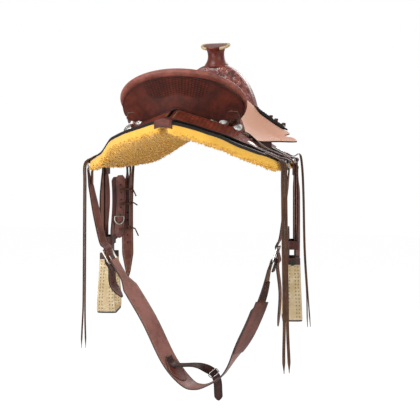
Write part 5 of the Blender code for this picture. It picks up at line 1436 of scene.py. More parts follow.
@dataclass
class Seat:
    """The seat leather with its side jockeys, and the rear and front jockeys."""

    base_half: float = 0.150
    base_back: float = -0.258
    base_depth: float = 0.080
    split: float = 0.0016
    binding: tuple = ((0.146, 0.132), (0.163, 0.1235), (0.183, 0.1295), (0.205, 0.1375), (0.228, 0.1465),
                      (0.2500, 0.1520))
    leaf: tuple = ((0.0, 0.0032), (0.0140, 0.0030), (0.0185, 0.0018), (0.0190, 0.0004), (0.0, 0.0004))
    dome: tuple = ((0.0, 0.0068), (0.0060, 0.0064), (0.0110, 0.0050), (0.0136, 0.0036), (0.0, 0.0036))
    scallop: float = 0.06
    rosettes: tuple = ((0.127, -0.218, 0.082), (0.167, -0.200, 0.063))
    thong_half: float = 0.0022
    thong_thick: float = 0.0018
    welt: float = 0.0026
    welt_line: tuple = ((0.157, -0.172), (0.168, -0.148), (0.175, -0.108), (0.200, -0.038), (0.226, 0.010))

    def outline(self) -> list:
        """The seat and its side jockeys in plan, off side, from the rear middle to the front middle."""
        middle = FORM.rim_back + FORM.rim_depth
        rear = [(FORM.dish_half * math.sin(a), middle - (middle - FORM.dish_back) * math.cos(a))
                for a in np.radians(np.linspace(0, 90, 13))]
        lobe = arc(FORM.seat_reach - 0.040, FORM.lobe_y - 0.012, 0.040, -95, 70, 14)
        side = [(0.163, -0.172), (0.174, -0.150), (0.180, -0.110), (0.205, -0.040), (0.232, 0.010)]
        front = [(0.2450, 0.112), (0.262, 0.134), (0.250, 0.146), (0.205, 0.132), (0.165, 0.118),
                 (0.150, FORM.seat_front - 0.012), (0.120, FORM.seat_front), (0.0, FORM.seat_front)]
        return rear + side + lobe + front

    def make_seat(self) -> None:
        """The filled outline raised to the sitting surface, rough side out, with a black cut edge."""
        half = self.outline()
        ring = rounded(half + [(-x, y) for x, y in half[::-1]][1:-1], 480, 0.008)
        item = raised_sheet("seat_leather", ring, 0.0058, FORM.sitting, (1, 1, 1))
        dress(item, NAP, BLACK_EDGE)
        thicken(item, FORM.seat, -1)
        settle(item, "saddle", "rough_out", "seat")

    def make_binding(self, side: Side) -> None:
        """The front jockey's turned-up rear edge, laced over, so that it swells at each loop."""
        line = curve_through(self.binding, 200)
        foot = np.stack([line[:, 0], line[:, 1], FORM.sitting(line[:, 0], line[:, 1])], axis=1)
        run = lengths(foot)
        loops = np.abs(np.sin(run * math.pi / 0.0085))
        tall = 0.0075 * np.clip(np.minimum(run, run[-1] - run) / 0.020, 0.25, 1.0) + 0.0012 * loops
        turn = full_turn(17)
        out = unit(np.stack([np.gradient(line[:, 1]), -np.gradient(line[:, 0]), 0 * run], axis=1))
        thick = self.welt + 0.0007 * loops
        rows = foot[:, None] + UP * (tall[:, None] * (0.4 + np.sin(turn)[None]))[..., None] \
            + out[:, None] * (thick[:, None] * np.cos(turn)[None])[..., None]
        item = grid_piece("front_binding_" + side.word, capped(foot, rows) * side.mirror, {})
        dress(item, BLACK_EDGE)
        settle(item, "saddle", "dark_leather")

    def thong(self, name: str, line: Array, sides: tuple[float, float, float]) -> bpy.types.Object:
        """A thin lace along a line, its width in one direction."""
        count = len(line)
        return strap_piece(name, line, np.tile(sides, (count, 1)), np.full(count, self.thong_half),
                           self.thong_thick, flat_section(11, 0.6))

    def make_rosettes(self, side: Side) -> None:
        """Scalloped rosettes with silver conchos and thongs at the rear, and knots on the front binding."""
        facing = np.array((0.30 * side.value, -0.72, 0.62))
        for number, place in enumerate(self.rosettes):
            centre = np.array(place) * side.mirror
            ending = f"{number}_{side.word}"
            item = disc("jockey_rosette_" + ending, np.array(self.leaf), centre, facing, self.scallop)
            dress(item, PLAIN)
            settle(item, "saddle", "leather")
            item = disc("jockey_silver_" + ending, np.array(self.dome), centre, facing, 0.0)
            dress(item, SILVER)
            settle(item, "saddle", "steel")
        thongs = []
        for k in range(6):
            start = 0.172 + 0.004 * k
            across = curve_through([(start, -0.190 + 0.006 * k), (start + 0.024, -0.170 + 0.008 * k),
                                    (start + 0.064, -0.150 + 0.012 * k)], 40)
            base = FORM.rear_jockey(across[:, 0], across[:, 1]) + FORM.seat
            rise = 0.0024 + (0.0130 - 0.0014 * k) * np.sin(math.pi * np.linspace(0, 1, 40))
            line = np.stack([across[:, 0], across[:, 1], base + rise], axis=1) * side.mirror
            thongs.append(self.thong(f"thong_{k}", line, (0.1, 1.0, 0.0)))
        for k, (x, y) in enumerate(((0.196, 0.142), (0.212, 0.148), (0.236, 0.154))):
            turn = np.linspace(0, 2 * math.pi * 1.6, 40)
            top = float(FORM.sitting(np.array(x), np.array(y))) + 0.006
            rise = top + 0.0050 * np.sin(turn * 1.7) + 0.0015 * k
            knot = np.stack([x + 0.0055 * np.cos(turn), y + 0.0035 * np.sin(turn), rise], axis=1)
            line = knot * side.mirror
            thongs.append(self.thong(f"knot_{k}", line, (0.2, 0.3, 1.0)))
        item = joined("jockey_thongs_" + side.word, thongs)
        dress(item, LACE)
        settle(item, "saddle", "leather")

    def make_welt(self, side: Side) -> None:
        """A strip of leather from just inside the seat's rear side edge down to the skirt below it."""
        line = curve_through(self.welt_line, 70)
        x, y = line[:, 0], line[:, 1]
        top = FORM.sitting(x, y) - FORM.seat * 0.5
        low = FORM.back(x, y) + FORM.skirt * 0.6
        share = np.linspace(0, 1, 7)
        height = top[:, None] + (np.minimum(low, top - 0.002) - top)[:, None] * share[None]
        rows = np.stack([x[:, None] + 0 * height, y[:, None] + 0 * height, height], axis=2) * side.mirror
        run = lengths(line)[:, None].repeat(7, 1)
        maps = edge_and_plan((run, height - height[:, -1:]), (run, height))
        item = grid_piece("seat_welt_" + side.word, rows, maps)
        flip_to(item, (side.value, 0, 0))
        dress(item, DARK_STRAP)
        thicken(item, self.welt, -1)
        settle(item, "saddle", "dark_leather")

    def foot(self, angle: float) -> tuple:
        """The foot of the cantle's back in plan."""
        a = angle * 0.80
        return self.base_half * math.sin(a), self.base_back + self.base_depth * (1 - math.cos(a))

    def make_rear_jockey(self, side: Side) -> None:
        """Ruled between its rear edge and the edge under the cantle, raised to its own surface."""
        rear = [(self.split, FORM.jockey_back), *FORM.jockey_edge]
        tip = arc(0.216, -0.196, 0.030, -55, 80, 10)
        under = [self.foot(a) for a in np.radians((60, 40, 20, 0))]
        front = [(0.178, -0.142), (0.140, -0.195)]
        front += [(max(x, self.split) - 0.001, y + 0.0015) for x, y in under]
        front[-1] = (self.split, front[-1][1])
        outer = resampled(np.array(rear + tip[:6]), 90)
        inner = resampled(np.array(front[::-1] + tip[:4:-1]), 90)
        ring = rounded(list(map(tuple, np.vstack([outer, inner[-2:0:-1]]))), 240, 0.006)
        surface = form_of(side).rear_jockey
        item = raised_sheet("rear_jockey_leather_" + side.word, ring, 0.0048, surface, side.mirror)
        dress(item, JOCKEY, BLACK_EDGE)
        thicken(item, FORM.seat, 1)
        settle(item, "saddle", "leather", "rear_jockey_" + side.word)

    def make_front_jockey(self, side: Side) -> None:
        """A fan plan raised to the front jockeys' surface."""
        outline = [(0.158, 0.150), (0.205, 0.146), (0.248, 0.160), (0.262, 0.172)] \
            + arc(0.225, 0.205, 0.034, 0, 95, 9) + [(0.165, 0.246), (0.158, 0.200)]
        ring = rounded(outline, 140, 0.008)
        item = raised_sheet("front_jockey_leather_" + side.word, ring, 0.0045, FORM.front_jockey, side.mirror)
        dress(item, JOCKEY, BLACK_EDGE)
        thicken(item, FORM.seat, 1)
        settle(item, "saddle", "dark_leather", "front_jockey_" + side.word)

    def build(self) -> None:
        """The seat and the four jockeys."""
        self.make_seat()
        for side in Side:
            self.make_rear_jockey(side)
            self.make_front_jockey(side)
            self.make_binding(side)
            self.make_rosettes(side)
            self.make_welt(side)


@dataclass
class Cantle:
    """The stamped back of the cantle and the roll along its rim."""

    seat: Seat
    sweep: float = math.radians(100)
    roll_sweep: float = math.radians(124)
    roll_width: float = 0.0165
    roll_thick: float = 0.0085
    roll_lean: float = math.radians(38)
    top_inset: float = 0.0070
    top_drop: float = 0.0219
    hollow: float = 0.006
    tall: float = 0.034
    end_tall: float = 0.006
    rise_from: float = math.radians(62)
    rise_over: float = math.radians(38)
    taper_from: float = math.radians(78)
    taper_over: float = math.radians(22)

    def make_roll(self) -> None:
        """A flat ellipse carried along the rim, thinner at its ends, with a stitched lower seam."""
        angle = np.linspace(-self.roll_sweep, self.roll_sweep, 150)
        rim = FORM.rim(angle)
        tangent = unit(FORM.rim(angle + 1e-3) - FORM.rim(angle - 1e-3))
        middle = np.array((0.0, FORM.rim_back + FORM.rim_depth * 0.75, FORM.rim_middle - 0.02))
        out = (rim - middle) * (1.0, 0.25, 1.0)
        out = unit(out - tangent * (out * tangent).sum(1, keepdims=True))
        rear = np.cross(out, tangent)
        rear *= np.where(rear[:, 1:2] < 0, 1.0, -1.0)
        major = out * math.cos(self.roll_lean) + rear * math.sin(self.roll_lean)
        minor = np.cross(major, tangent)
        fade = np.minimum(1.0, 0.62 + 0.38 * np.sqrt(1 - np.abs(angle / self.roll_sweep) ** 4))[:, None]
        centre = rim - major * self.roll_width * fade
        turn = full_turn(33)
        swell = self.roll_width * np.cos(turn), self.roll_thick * np.sin(turn)
        rows = centre[:, None] + major[:, None] * (fade * swell[0][None])[..., None] \
            + minor[:, None] * (fade * swell[1][None])[..., None]
        rows = capped(centre, rows)
        run = np.concatenate([[0], lengths(rim), [lengths(rim)[-1]]])[:, None].repeat(33, 1)
        seam = 0.002 + 0.014 * np.abs(np.cos(turn / 2))[None].repeat(len(rows), 0)
        maps = edge_and_plan((run, seam), (run, seam))
        item = grid_piece("cantle_roll_leather", rows, maps)
        dress(item, ROLL)
        settle(item, "saddle", "leather", "cantle_roll")

    def make_back(self) -> None:
        """Ruled from its foot on the jockeys to its top under the roll, and hollowed a little."""
        angle = np.linspace(-self.sweep, self.sweep, 130)
        outward = [np.sin(angle) / FORM.rim_half, -np.cos(angle) / FORM.rim_depth, 0 * angle]
        inward = -unit(np.stack(outward, axis=1))
        a = angle * 0.80
        x = self.seat.base_half * np.sin(a)
        y = self.seat.base_back + self.seat.base_depth * (1 - np.cos(a))
        foot = np.stack([x, y, FORM.rear_jockey(x, y) + FORM.seat + 2 * FORM.layer], axis=1)
        top = FORM.rim(angle) + inward * self.top_inset - np.array((0, 0, self.top_drop))
        rise = eased((np.abs(angle) - self.rise_from) / self.rise_over)[:, None]
        taper = eased((np.abs(angle) - self.taper_from) / self.taper_over)
        tall = self.tall - (self.tall - self.end_tall) * taper
        low = top + inward * self.hollow - UP * tall[:, None]
        foot = foot + (low - foot) * rise
        share = np.linspace(0, 1, 26)[None, :, None]
        rows = foot[:, None] + (top - foot)[:, None] * share
        rows = rows + inward[:, None] * self.hollow * np.sin(math.pi * share)
        run = lengths(rows[:, 13])[:, None].repeat(26, 1)
        tall = np.linalg.norm(rows - rows[:, :1], axis=2)
        edge = np.minimum(np.minimum(tall, tall[:, -1:] - tall), np.minimum(run, run[-1:] - run))
        maps = edge_and_plan((run, edge), (run - run[-1:] / 2, tall))
        item = grid_piece("cantle_back_leather", rows, maps)
        flip_to(item, (0, -1, 0))
        dress(item, TOOLED, BLACK_EDGE)
        thicken(item, FORM.seat, -1)
        settle(item, "saddle", "tooled_leather", "cantle_back")

    def build(self) -> None:
        """The roll and the back."""
        self.make_roll()
        self.make_back()


@dataclass
class Fork:
    """The fork's cover, the horn, its cap and the laced rim of the cap."""

    half: float = 0.1390
    top: float = 0.286
    base: float = 0.070
    square: float = 0.93
    middle_y: float = 0.196
    depth_top: float = 0.066
    depth_base: float = 0.098
    gullet_half: float = 0.052
    gullet_base: float = 0.105
    gullet_top: float = 0.212
    cover: float = 0.0038
    fit: float = 0.0004
    neck: float = 0.0265
    sleeve: float = 0.0045
    flare: float = 0.038
    height: float = 0.0625
    cap: float = 0.0405
    cap_depth: float = 0.0095
    foot: float = 0.0095
    tilt: float = math.radians(11)
    lace: float = 0.0044
    dish: float = 0.0030
    lean: float = 0.0040
    foot_angle: float = math.radians(4)
    lacing_gap: float = math.radians(62)
    winding: float = 34.0
    section: tuple = ((0.0, -0.96), (0.55, -1.0), (0.86, -0.84), (0.985, -0.48), (1.0, 0.0), (0.985, 0.48),
                      (0.86, 0.84), (0.55, 1.0), (0.0, 0.96))

    def arch(self, angle: Array, half: float, base: float, top: float, square: float) -> Array:
        """A squared arch: cosine and sine, each to a power, scaled to its half width and rise."""
        c, s = np.cos(angle), np.sin(angle)
        x = half * np.sign(c) * np.abs(c) ** square
        return np.stack([x, base + (top - base) * np.abs(s) ** square], axis=1)

    def make_cover(self) -> None:
        """The fork's section, a curve through nine points, carried over the arch and thickened inwards."""
        angle = np.linspace(self.foot_angle, math.pi - self.foot_angle, 90)
        outer = self.arch(angle, self.half, self.base, self.top, self.square)
        inner = self.arch(angle, self.gullet_half, self.gullet_base, self.gullet_top, 0.9)
        reach = np.linalg.norm(outer - inner, axis=1)
        out = (outer - inner) / reach[:, None]
        grow = self.fit * 2 + self.cover
        rise = np.abs(np.sin(angle)) ** 0.8
        depth = 0.5 * (self.depth_base + (self.depth_top - self.depth_base) * rise) + grow
        far = reach + grow
        shape = curve_through(np.array(self.section), 41)
        along = np.where(shape[:, 0] <= 0, 0.004, 0)[None] + shape[None, :, 0] * far[:, None]
        y = self.middle_y + (0.010 * (1 - rise))[:, None] + shape[None, :, 1] * depth[:, None]
        rows = np.stack([inner[:, :1] + out[:, :1] * along, y, inner[:, 1:] + out[:, 1:] * along], axis=2)
        run = lengths(outer)[:, None].repeat(41, 1)
        place = lengths(shape * (0.08, 0.04))[None].repeat(90, 0)
        nearest = np.minimum(place, place[:, -1:] - place)
        maps = edge_and_plan((run, nearest), (run - run[-1:] / 2, nearest))
        item = grid_piece("fork_leather", rows, maps, True)
        dress(item, CARVED, BLACK_EDGE)
        thicken(item, self.cover, -1)
        settle(item, "saddle", "leather", "fork_cover")

    def spin(self, name: str, profile: Array, node: str) -> None:
        """A leather profile turned about the tilted horn's axis.

        Args:
            name: The piece's name.
            profile: Rows of radius and height, from one end of the surface to the other.
            node: The CAD node that it stands for.
        """
        turn = full_turn(97)
        rows = np.stack([profile[:, :1] * np.cos(turn), profile[:, :1] * np.sin(turn),
                         profile[:, 1:].repeat(97, 1)], axis=2)
        run = (turn * self.cap)[None].repeat(len(profile), 0)
        place = lengths(profile)[:, None].repeat(97, 1)
        maps = edge_and_plan((run, place), (run, place))
        item = grid_piece(name, self.tilted(rows), maps)
        dress(item, HORN)
        settle(item, "saddle", "leather", node)

    def tilted(self, rows: Array) -> Array:
        """Points given about the horn's own axis, put in their place."""
        base = self.top + self.cover + self.fit * 2
        c, s = math.cos(self.tilt), math.sin(self.tilt)
        x, y, z = rows[..., 0], rows[..., 1], rows[..., 2]
        near_top = eased((z - 0.6 * self.height) / (0.25 * self.height))
        z = z + (self.dish * (x / self.cap) ** 2 + self.lean * y / self.cap) * near_top
        return np.stack([x, self.middle_y + y * c - z * s, base + y * s + z * c], axis=-1)

    def make_horn(self) -> None:
        """The sleeve flares by a fifth power under the cap and a fourth at its foot; the cap is crowned."""
        neck_top = self.height - self.cap_depth
        t = np.linspace(0, 1, 40)
        radius = self.neck + (self.cap * 0.86 - self.neck) * (1 - t) ** 5 + (self.flare - self.neck) * t ** 4
        hole = self.neck - self.sleeve
        lip = [(self.flare + 0.0018, -0.004), (self.flare + 0.0010, -self.foot), (hole, -self.foot)]
        outside = np.stack([radius, neck_top * (1 - t)], axis=1)
        sleeve = np.vstack([[(hole, neck_top)], outside, lip, [(hole, neck_top)]])
        self.spin("horn_sleeve", sleeve, "horn_wrap")
        angle = np.linspace(0, math.pi / 2, 8)
        crown = np.stack([np.linspace(0, self.cap * 0.93, 14), self.height - 0.0004
                          - 0.0006 * np.linspace(0, 1, 14) ** 3], axis=1)
        edge = np.stack([self.cap * 0.93 + self.cap * 0.07 * np.sin(angle),
                         self.height - 0.001 - (0.5 * self.cap_depth - 0.001) * (1 - np.cos(angle))], axis=1)
        low = np.array([(self.cap * 0.93, neck_top + 0.0004), (0.0, neck_top + self.fit)])
        self.spin("horn_top", np.vstack([crown, edge, low]), "horn_cap")

    def make_lacing(self) -> None:
        """A lace wound on the cap's rim: a tube whose radius swells once for each turn of the winding."""
        half_gap = self.lacing_gap / 2
        angle = np.linspace(-math.pi / 2 + half_gap, 1.5 * math.pi - half_gap, 420)
        turn = full_turn(17)
        wound = self.lace * (0.86 + 0.14 * np.abs(np.sin(angle * self.winding)))[:, None]
        radius = self.cap + self.lace + self.fit + wound * np.cos(turn)[None]
        z = self.height - 0.5 * self.cap_depth - 0.0012 + 1.15 * wound * np.sin(turn)[None]
        rows = np.stack([radius * np.cos(angle)[:, None], radius * np.sin(angle)[:, None], z], axis=2)
        item = grid_piece("horn_lacing", self.tilted(capped(rows.mean(1), rows)), {})
        dress(item, HIDE)
        settle(item, "saddle", "rawhide", "horn_rim_lacing")

    def build(self) -> None:
        """Cover, horn and lacing."""
        self.make_cover()
        self.make_horn()
        self.make_lacing()


@dataclass
class Legs:
    """Fenders, stirrup leathers and stirrups, each side turned about its bend."""

    leg_y: float = -0.030
    turn: float = math.radians(-12)
    lap_x: float = 0.3005
    lap_top: float = -0.034
    fender_width: float = 0.190
    fender_neck: float = 0.088
    fender_end: float = -0.301
    width: float = 0.064
    tail: float = -0.232
    bolt_z: float = -0.338
    sleeve: float = 0.0070
    fit: float = 0.0004
    stirrup_neck: float = 0.041
    tread: float = 0.066
    drop: float = 0.172
    top_width: float = 0.048
    tread_width: float = 0.060
    wall: float = 0.009
    neck_wrap: float = 0.006
    sole: float = 0.0035
    holes: tuple[float, float] = (0.06, 0.185)

    @property
    def leather_x(self) -> float:
        """How far out the stirrup leather's outer run hangs."""
        return self.lap_x + FORM.strap + FORM.layer

    @property
    def bolt_x(self) -> float:
        """How far out the stirrup's bolt is."""
        return self.leather_x - FORM.strap / 2 - self.fit - self.sleeve

    def frame(self, side: Side) -> tuple[Array, Array]:
        """The leg's width direction and its outward normal."""
        c, s = math.cos(self.turn), math.sin(self.turn)
        return np.array((s, c, 0.0)), side.value * np.array((c, -s, 0.0))

    def place(self, side: Side, out: Array, along: Array, z: Array) -> Array:
        """Points given by distance out, distance forward and height, put on a leg."""
        width, normal = self.frame(side)
        start = np.array((side.value * self.lap_x, self.leg_y, 0.0))
        return start + (out - self.lap_x)[..., None] * normal + along[..., None] * width \
            + z[..., None] * UP

    def make_fender(self, side: Side) -> None:
        """A fan plan in the leg's plane, its outline eased."""
        top = self.lap_top - 0.003
        length = top - self.fender_end
        half, neck, foot = self.fender_width / 2, self.fender_neck / 2, self.width / 2
        front = [(0, neck), (0.10 * length, neck + 0.004), (0.24 * length, 0.80 * half),
                 (0.38 * length, 0.97 * half), (0.54 * length, 0.95 * half), (0.74 * length, 0.66 * half),
                 (0.90 * length, foot + 0.004), (length, foot)]
        rear = [(length, -foot), (0.90 * length, -foot - 0.005), (0.76 * length, -0.72 * half),
                (0.58 * length, -half), (0.40 * length, -half), (0.24 * length, -0.78 * half),
                (0.10 * length, -neck - 0.004), (0, -neck)]
        ring = rounded(front + rear, 220, 0.020)
        plan, triangles = filled(ring, 0.0055)
        out = self.leather_x + FORM.strap + FORM.layer + 0 * plan[..., 0]
        points = self.place(side, out, plan[..., 1], top - plan[..., 0])
        item = sheet_piece("fender_leather_" + side.word, plan, triangles, points, nearest_edge(plan, ring),
                           tuple(self.frame(side)[1]))
        dress(item, FENDER, BLACK_EDGE)
        thicken(item, FORM.strap, 0)
        settle(item, "leg_" + side.word, "rough_out", "fender_" + side.word)

    def make_leather(self, side: Side) -> None:
        """The strap down, round the bolt and up to its pointed tail."""
        turn = self.leather_x - self.bolt_x
        down = [(self.leather_x, z) for z in np.linspace(self.lap_top - 0.006, self.bolt_z, 30)]
        bend = arc(self.bolt_x, self.bolt_z, turn, -10, -170, 17)
        up = [(2 * self.bolt_x - self.leather_x, z) for z in np.linspace(self.bolt_z, self.tail, 20)]
        line = np.array(down + bend + up)
        path = self.place(side, line[:, 0], 0 * line[:, 0], line[:, 1])
        run = lengths(path)
        half = self.width / 2 * tip_share(run, 0.022, 0.03)
        sides = np.tile(self.frame(side)[0], (len(path), 1))
        item = strap_piece("stirrup_strap_" + side.word, path, sides, half, FORM.strap)
        dress(item, replace(HOLED, name="stirrup_strap", holes=self.holes))
        settle(item, "leg_" + side.word, "leather", "stirrup_leather_" + side.word)

    def make_stirrup(self, side: Side) -> None:
        """One bent strip with ears, spreading sides, round corners and a flat tread; its section is a bar."""
        top, bottom = self.bolt_z + 0.014, self.bolt_z - self.drop
        half = [(self.stirrup_neck, top), (self.stirrup_neck, self.bolt_z - 0.012),
                (self.stirrup_neck + 0.007, self.bolt_z - 0.045), (self.tread - 0.007, self.bolt_z - 0.095),
                (self.tread, bottom + 0.040)] + arc(self.tread - 0.022, bottom + 0.022, 0.022, -12, -90, 5)
        rear = np.array([(-y, z) for y, z in half])
        line = np.vstack([rear, [(0.0, bottom)], np.array(half)[::-1]])
        line = resampled(line, 160)
        drop = np.clip((top - line[:, 1]) / (top - bottom), 0, 1)
        widths = (self.top_width + (self.tread_width - self.top_width) * drop ** 1.2) / 2
        path = self.place(side, self.bolt_x + 0 * drop, line[:, 0], line[:, 1])
        normal = np.tile(self.frame(side)[1], (len(path), 1))
        section = flat_section(25, 0.45)
        item = strap_piece("stirrup_hide_" + side.word, path, normal, widths, self.wall, section)
        dress(item, Rawhide("stirrup_rawhide", STIRRUP_HIDE, neck_above=self.bolt_z - self.neck_wrap,
                            sole_below=bottom + self.sole))
        settle(item, "stirrup_" + side.word, "rawhide", "stirrup_" + side.word)

    def build(self) -> None:
        """Both legs."""
        for side in Side:
            self.make_fender(side)
            self.make_leather(side)
            self.make_stirrup(side)


@dataclass
class Flank:
    """The flank billets, the wide cinch between its buckles and the strap that ties it forward."""

    y: float = -0.165
    dee_x: float = 0.3060
    dee_z: float = -0.033
    dee_radius: float = 0.024
    dee_wire: float = 0.0028
    eye: float = 0.014
    billet: float = 0.0036
    billet_width: float = 0.040
    leather: float = 0.0050
    width: float = 0.072
    tab: float = 0.038
    wire: float = 0.0028
    fit: float = 0.0004
    buckle_length: float = 0.044
    bottom_x: float = 0.042
    bottom_z: float = -0.705
    connector_width: float = 0.026
    near_bar: tuple[float, float] = (-0.231, -0.341)
    off_bar: tuple[float, float] = (0.268, -0.324)
    near_lean: float = math.radians(30)
    off_lean: float = math.radians(-18)
    near_twist: float = math.radians(16)
    layer_lift: float = 0.0013
    near_tail: tuple = ((0.010, -0.060), (0.040, -0.100))
    off_tail: tuple = ((0.004, -0.090), (-0.002, -0.185))
    twist_at: tuple = (0, 0.1, 0.40, 0.52, 0.64, 0.73, 0.90, 1.0)
    twist: tuple = (16, 22, 22, 8, -4, 25, 24, 0)

    @property
    def tab_turn(self) -> float:
        """How far from the buckle's bar the folded tab lies."""
        return self.wire + 2.5 * self.fit + self.leather / 2

    @property
    def dee_turn(self) -> float:
        """How far from the middle of a dee's wire a strap turns, with the slack for the bow's curve."""
        slack = (self.eye / 2) ** 2 / (2 * self.dee_radius) + self.fit
        return self.dee_wire + slack + self.billet / 2

    def buckle(self, side: Side) -> tuple[Array, Array, Array, Array]:
        """A buckle's lower bar, its direction up the strap, across the strap and outwards."""
        near = side is Side.NEAR
        x, z = self.near_bar if near else self.off_bar
        lean, turn = (self.near_lean, self.near_twist) if near else (self.off_lean, 0.0)
        up = np.array((-math.sin(lean), 0.0, math.cos(lean)))
        across = np.array((math.sin(turn), math.cos(turn), 0.0))
        across = unit(across - up * (across @ up))
        out = np.cross(across, up)
        return np.array((x, self.y, z)), up, across, out if out[0] * side.value > 0 else -out

    def tab_line(self, side: Side) -> Array:
        """The cinch's end: up inside the buckle's lower bar, round it and down outside."""
        bar, up, _, out = self.buckle(side)
        r = self.tab_turn
        turn = np.radians(np.linspace(0, 180, 13))[:, None]
        bend = bar + (-out * np.cos(turn) + up * np.sin(turn)) * r
        return np.vstack([[bar - out * r - up * 0.030], [bar - out * r - up * 0.014], bend,
                          [bar + out * r - up * 0.014], [bar + out * r - up * 0.030]])

    def cinch_line(self) -> tuple[Array, Array, int, int]:
        """The whole cinch: a folded tab, the hanging band and the other tab, with its width directions."""
        (lx, _, lz), (rx, _, rz) = self.buckle(Side.NEAR)[0], self.buckle(Side.OFF)[0]
        bx, bz = self.bottom_x, self.bottom_z
        left, right = self.tab_line(Side.NEAR), self.tab_line(Side.OFF)
        middle = [(lx + 0.060, lz - 0.084), (lx + 0.117, lz - 0.174), (lx + 0.178, lz - 0.290),
                  (bx - 0.040, bz + 0.012), (bx, bz), (bx + 0.040, bz + 0.016), (rx - 0.150, rz - 0.336),
                  (rx - 0.112, rz - 0.274), (rx - 0.070, rz - 0.195), (rx - 0.034, rz - 0.105)]
        points = [tuple(left[0])] + [(x, self.y, z) for x, z in middle] + [tuple(right[0])]
        body = curve_through(points, 180)
        share = np.linspace(0, 1, len(body))
        angle = np.interp(share, self.twist_at, np.radians(self.twist))
        kernel = np.hanning(27)[1:-1]
        angle = np.convolve(np.pad(angle, 12, mode="edge"), kernel / np.hanning(27).sum(), "valid")
        ends = [self.buckle(s)[2] for s in Side]
        sides = np.vstack([np.tile(ends[0], (len(left) - 1, 1)),
                           np.stack([np.sin(angle), np.cos(angle), 0 * angle], axis=1),
                           np.tile(ends[1], (len(right) - 1, 1))])
        return np.vstack([left[:0:-1], body, right[1:]]), sides, len(left) - 1, len(body)

    def make_cinch(self) -> None:
        """The band, narrow at its tabs and full between, with its stitched edges."""
        path, sides, first, count = self.cinch_line()
        run = lengths(path)
        near, far = run[first], run[first + count - 1]
        half = np.interp(run, (near + 0.030, near + 0.062, far - 0.126, far - 0.108),
                         (self.tab / 2, self.width / 2, self.width / 2, self.tab / 2))
        item = strap_piece("cinch_band", path, sides, half, self.leather)
        dress(item, CINCH)
        settle(item, "flank_set", "leather", "flank_cinch")

    def inner_face(self, count: int) -> tuple[Array, Array, Array]:
        """The band's middle line between its tabs, its width directions and its inward normals."""
        path, sides, first, whole = self.cinch_line()
        body = resampled(path[first:first + whole], count)
        tangent = unit(np.gradient(body, axis=0))
        at = np.linspace(0, 1, count)
        known = np.linspace(0, 1, whole)
        side = np.stack([np.interp(at, known, sides[first:first + whole, k]) for k in range(3)], axis=1)
        side = unit(side - tangent * (side * tangent).sum(1, keepdims=True))
        inward = np.cross(tangent, side)
        return body, side, inward * np.sign(inward[:, 2:])

    def make_linings(self) -> None:
        """Two square-ended layers sewn on the off half of the band, and a rounded keeper patch inside."""
        body, side, inward = self.inner_face(200)
        off = self.leather / 2 + self.layer_lift
        for name, part, half, finish in (("cinch_lining", slice(138, 178), 0.0352, LINING),
                                         ("cinch_tab_cover", slice(177, 192), 0.0184, DARK_STRAP)):
            line = body[part] - inward[part] * off
            layer = strap_piece(name, line, side[part], np.full(len(line), half), 0.0022)
            dress(layer, finish)
            settle(layer, "flank_set", "leather")
        part = slice(68, 90)
        line = body[part] + inward[part] * off
        run = lengths(line)
        middle = 1 - np.abs(2 * run / run[-1] - 1)
        patch = strap_piece("cinch_keeper", line, side[part], 0.005 + 0.029 * np.sqrt(middle), 0.0024)
        dress(patch, EDGED_KEEPER)
        settle(patch, "flank_set", "leather")

    def make_billet(self, side: Side) -> None:
        """From the dee's bow down through the buckle and out over its lower bar to the tail."""
        bar, up, across, out = self.buckle(side)
        under = self.wire + 3 * self.fit + self.billet / 2
        over = self.tab_turn + self.leather / 2 + 6 * FORM.layer + self.billet / 2
        entry, leave = bar + up * self.buckle_length - out * under, bar + out * over
        turn = self.dee_turn
        bow = self.dee_z - self.dee_radius
        eye = [(self.dee_x - turn, z) for z in (-0.105, 0.5 * (bow - 0.105), bow - 0.004)]
        eye += arc(self.dee_x, bow, turn, 165, 10, 14)
        s = side.value
        tail = self.near_tail if side is Side.NEAR else self.off_tail
        fall = [(s * (self.dee_x + 0.003), self.y, -0.084), entry + up * 0.040, entry + up * 0.008,
                entry - up * 0.004, leave + up * 0.008, leave - up * 0.012]
        fall += [leave + np.array((dx, 0, dz)) for dx, dz in tail]
        lower = curve_through([(s * eye[-1][0], self.y, eye[-1][1])] + [tuple(p) for p in fall], 110)
        path = np.vstack([[(s * a, self.y, b) for a, b in eye], lower[1:]])
        share = eased((-0.09 - path[:, 2]) / 0.12)[:, None]
        sides = np.array((0.0, 1.0, 0.0)) * (1 - share) + across * share
        run = lengths(path)
        start = run[len(eye)]
        half = np.interp(run, (start + 0.010, start + 0.050), (self.eye / 2, self.billet_width / 2))
        half = half * tip_share(run, 0.034, 0.02)
        item = strap_piece("billet_" + side.word, path, sides, half, self.billet)
        holes = (run[-1] - 0.190, run[-1] - 0.020)
        dress(item, replace(HOLED, name="billet_leather", holes=holes))
        settle(item, "flank_set", "leather", "flank_billet_" + side.word)

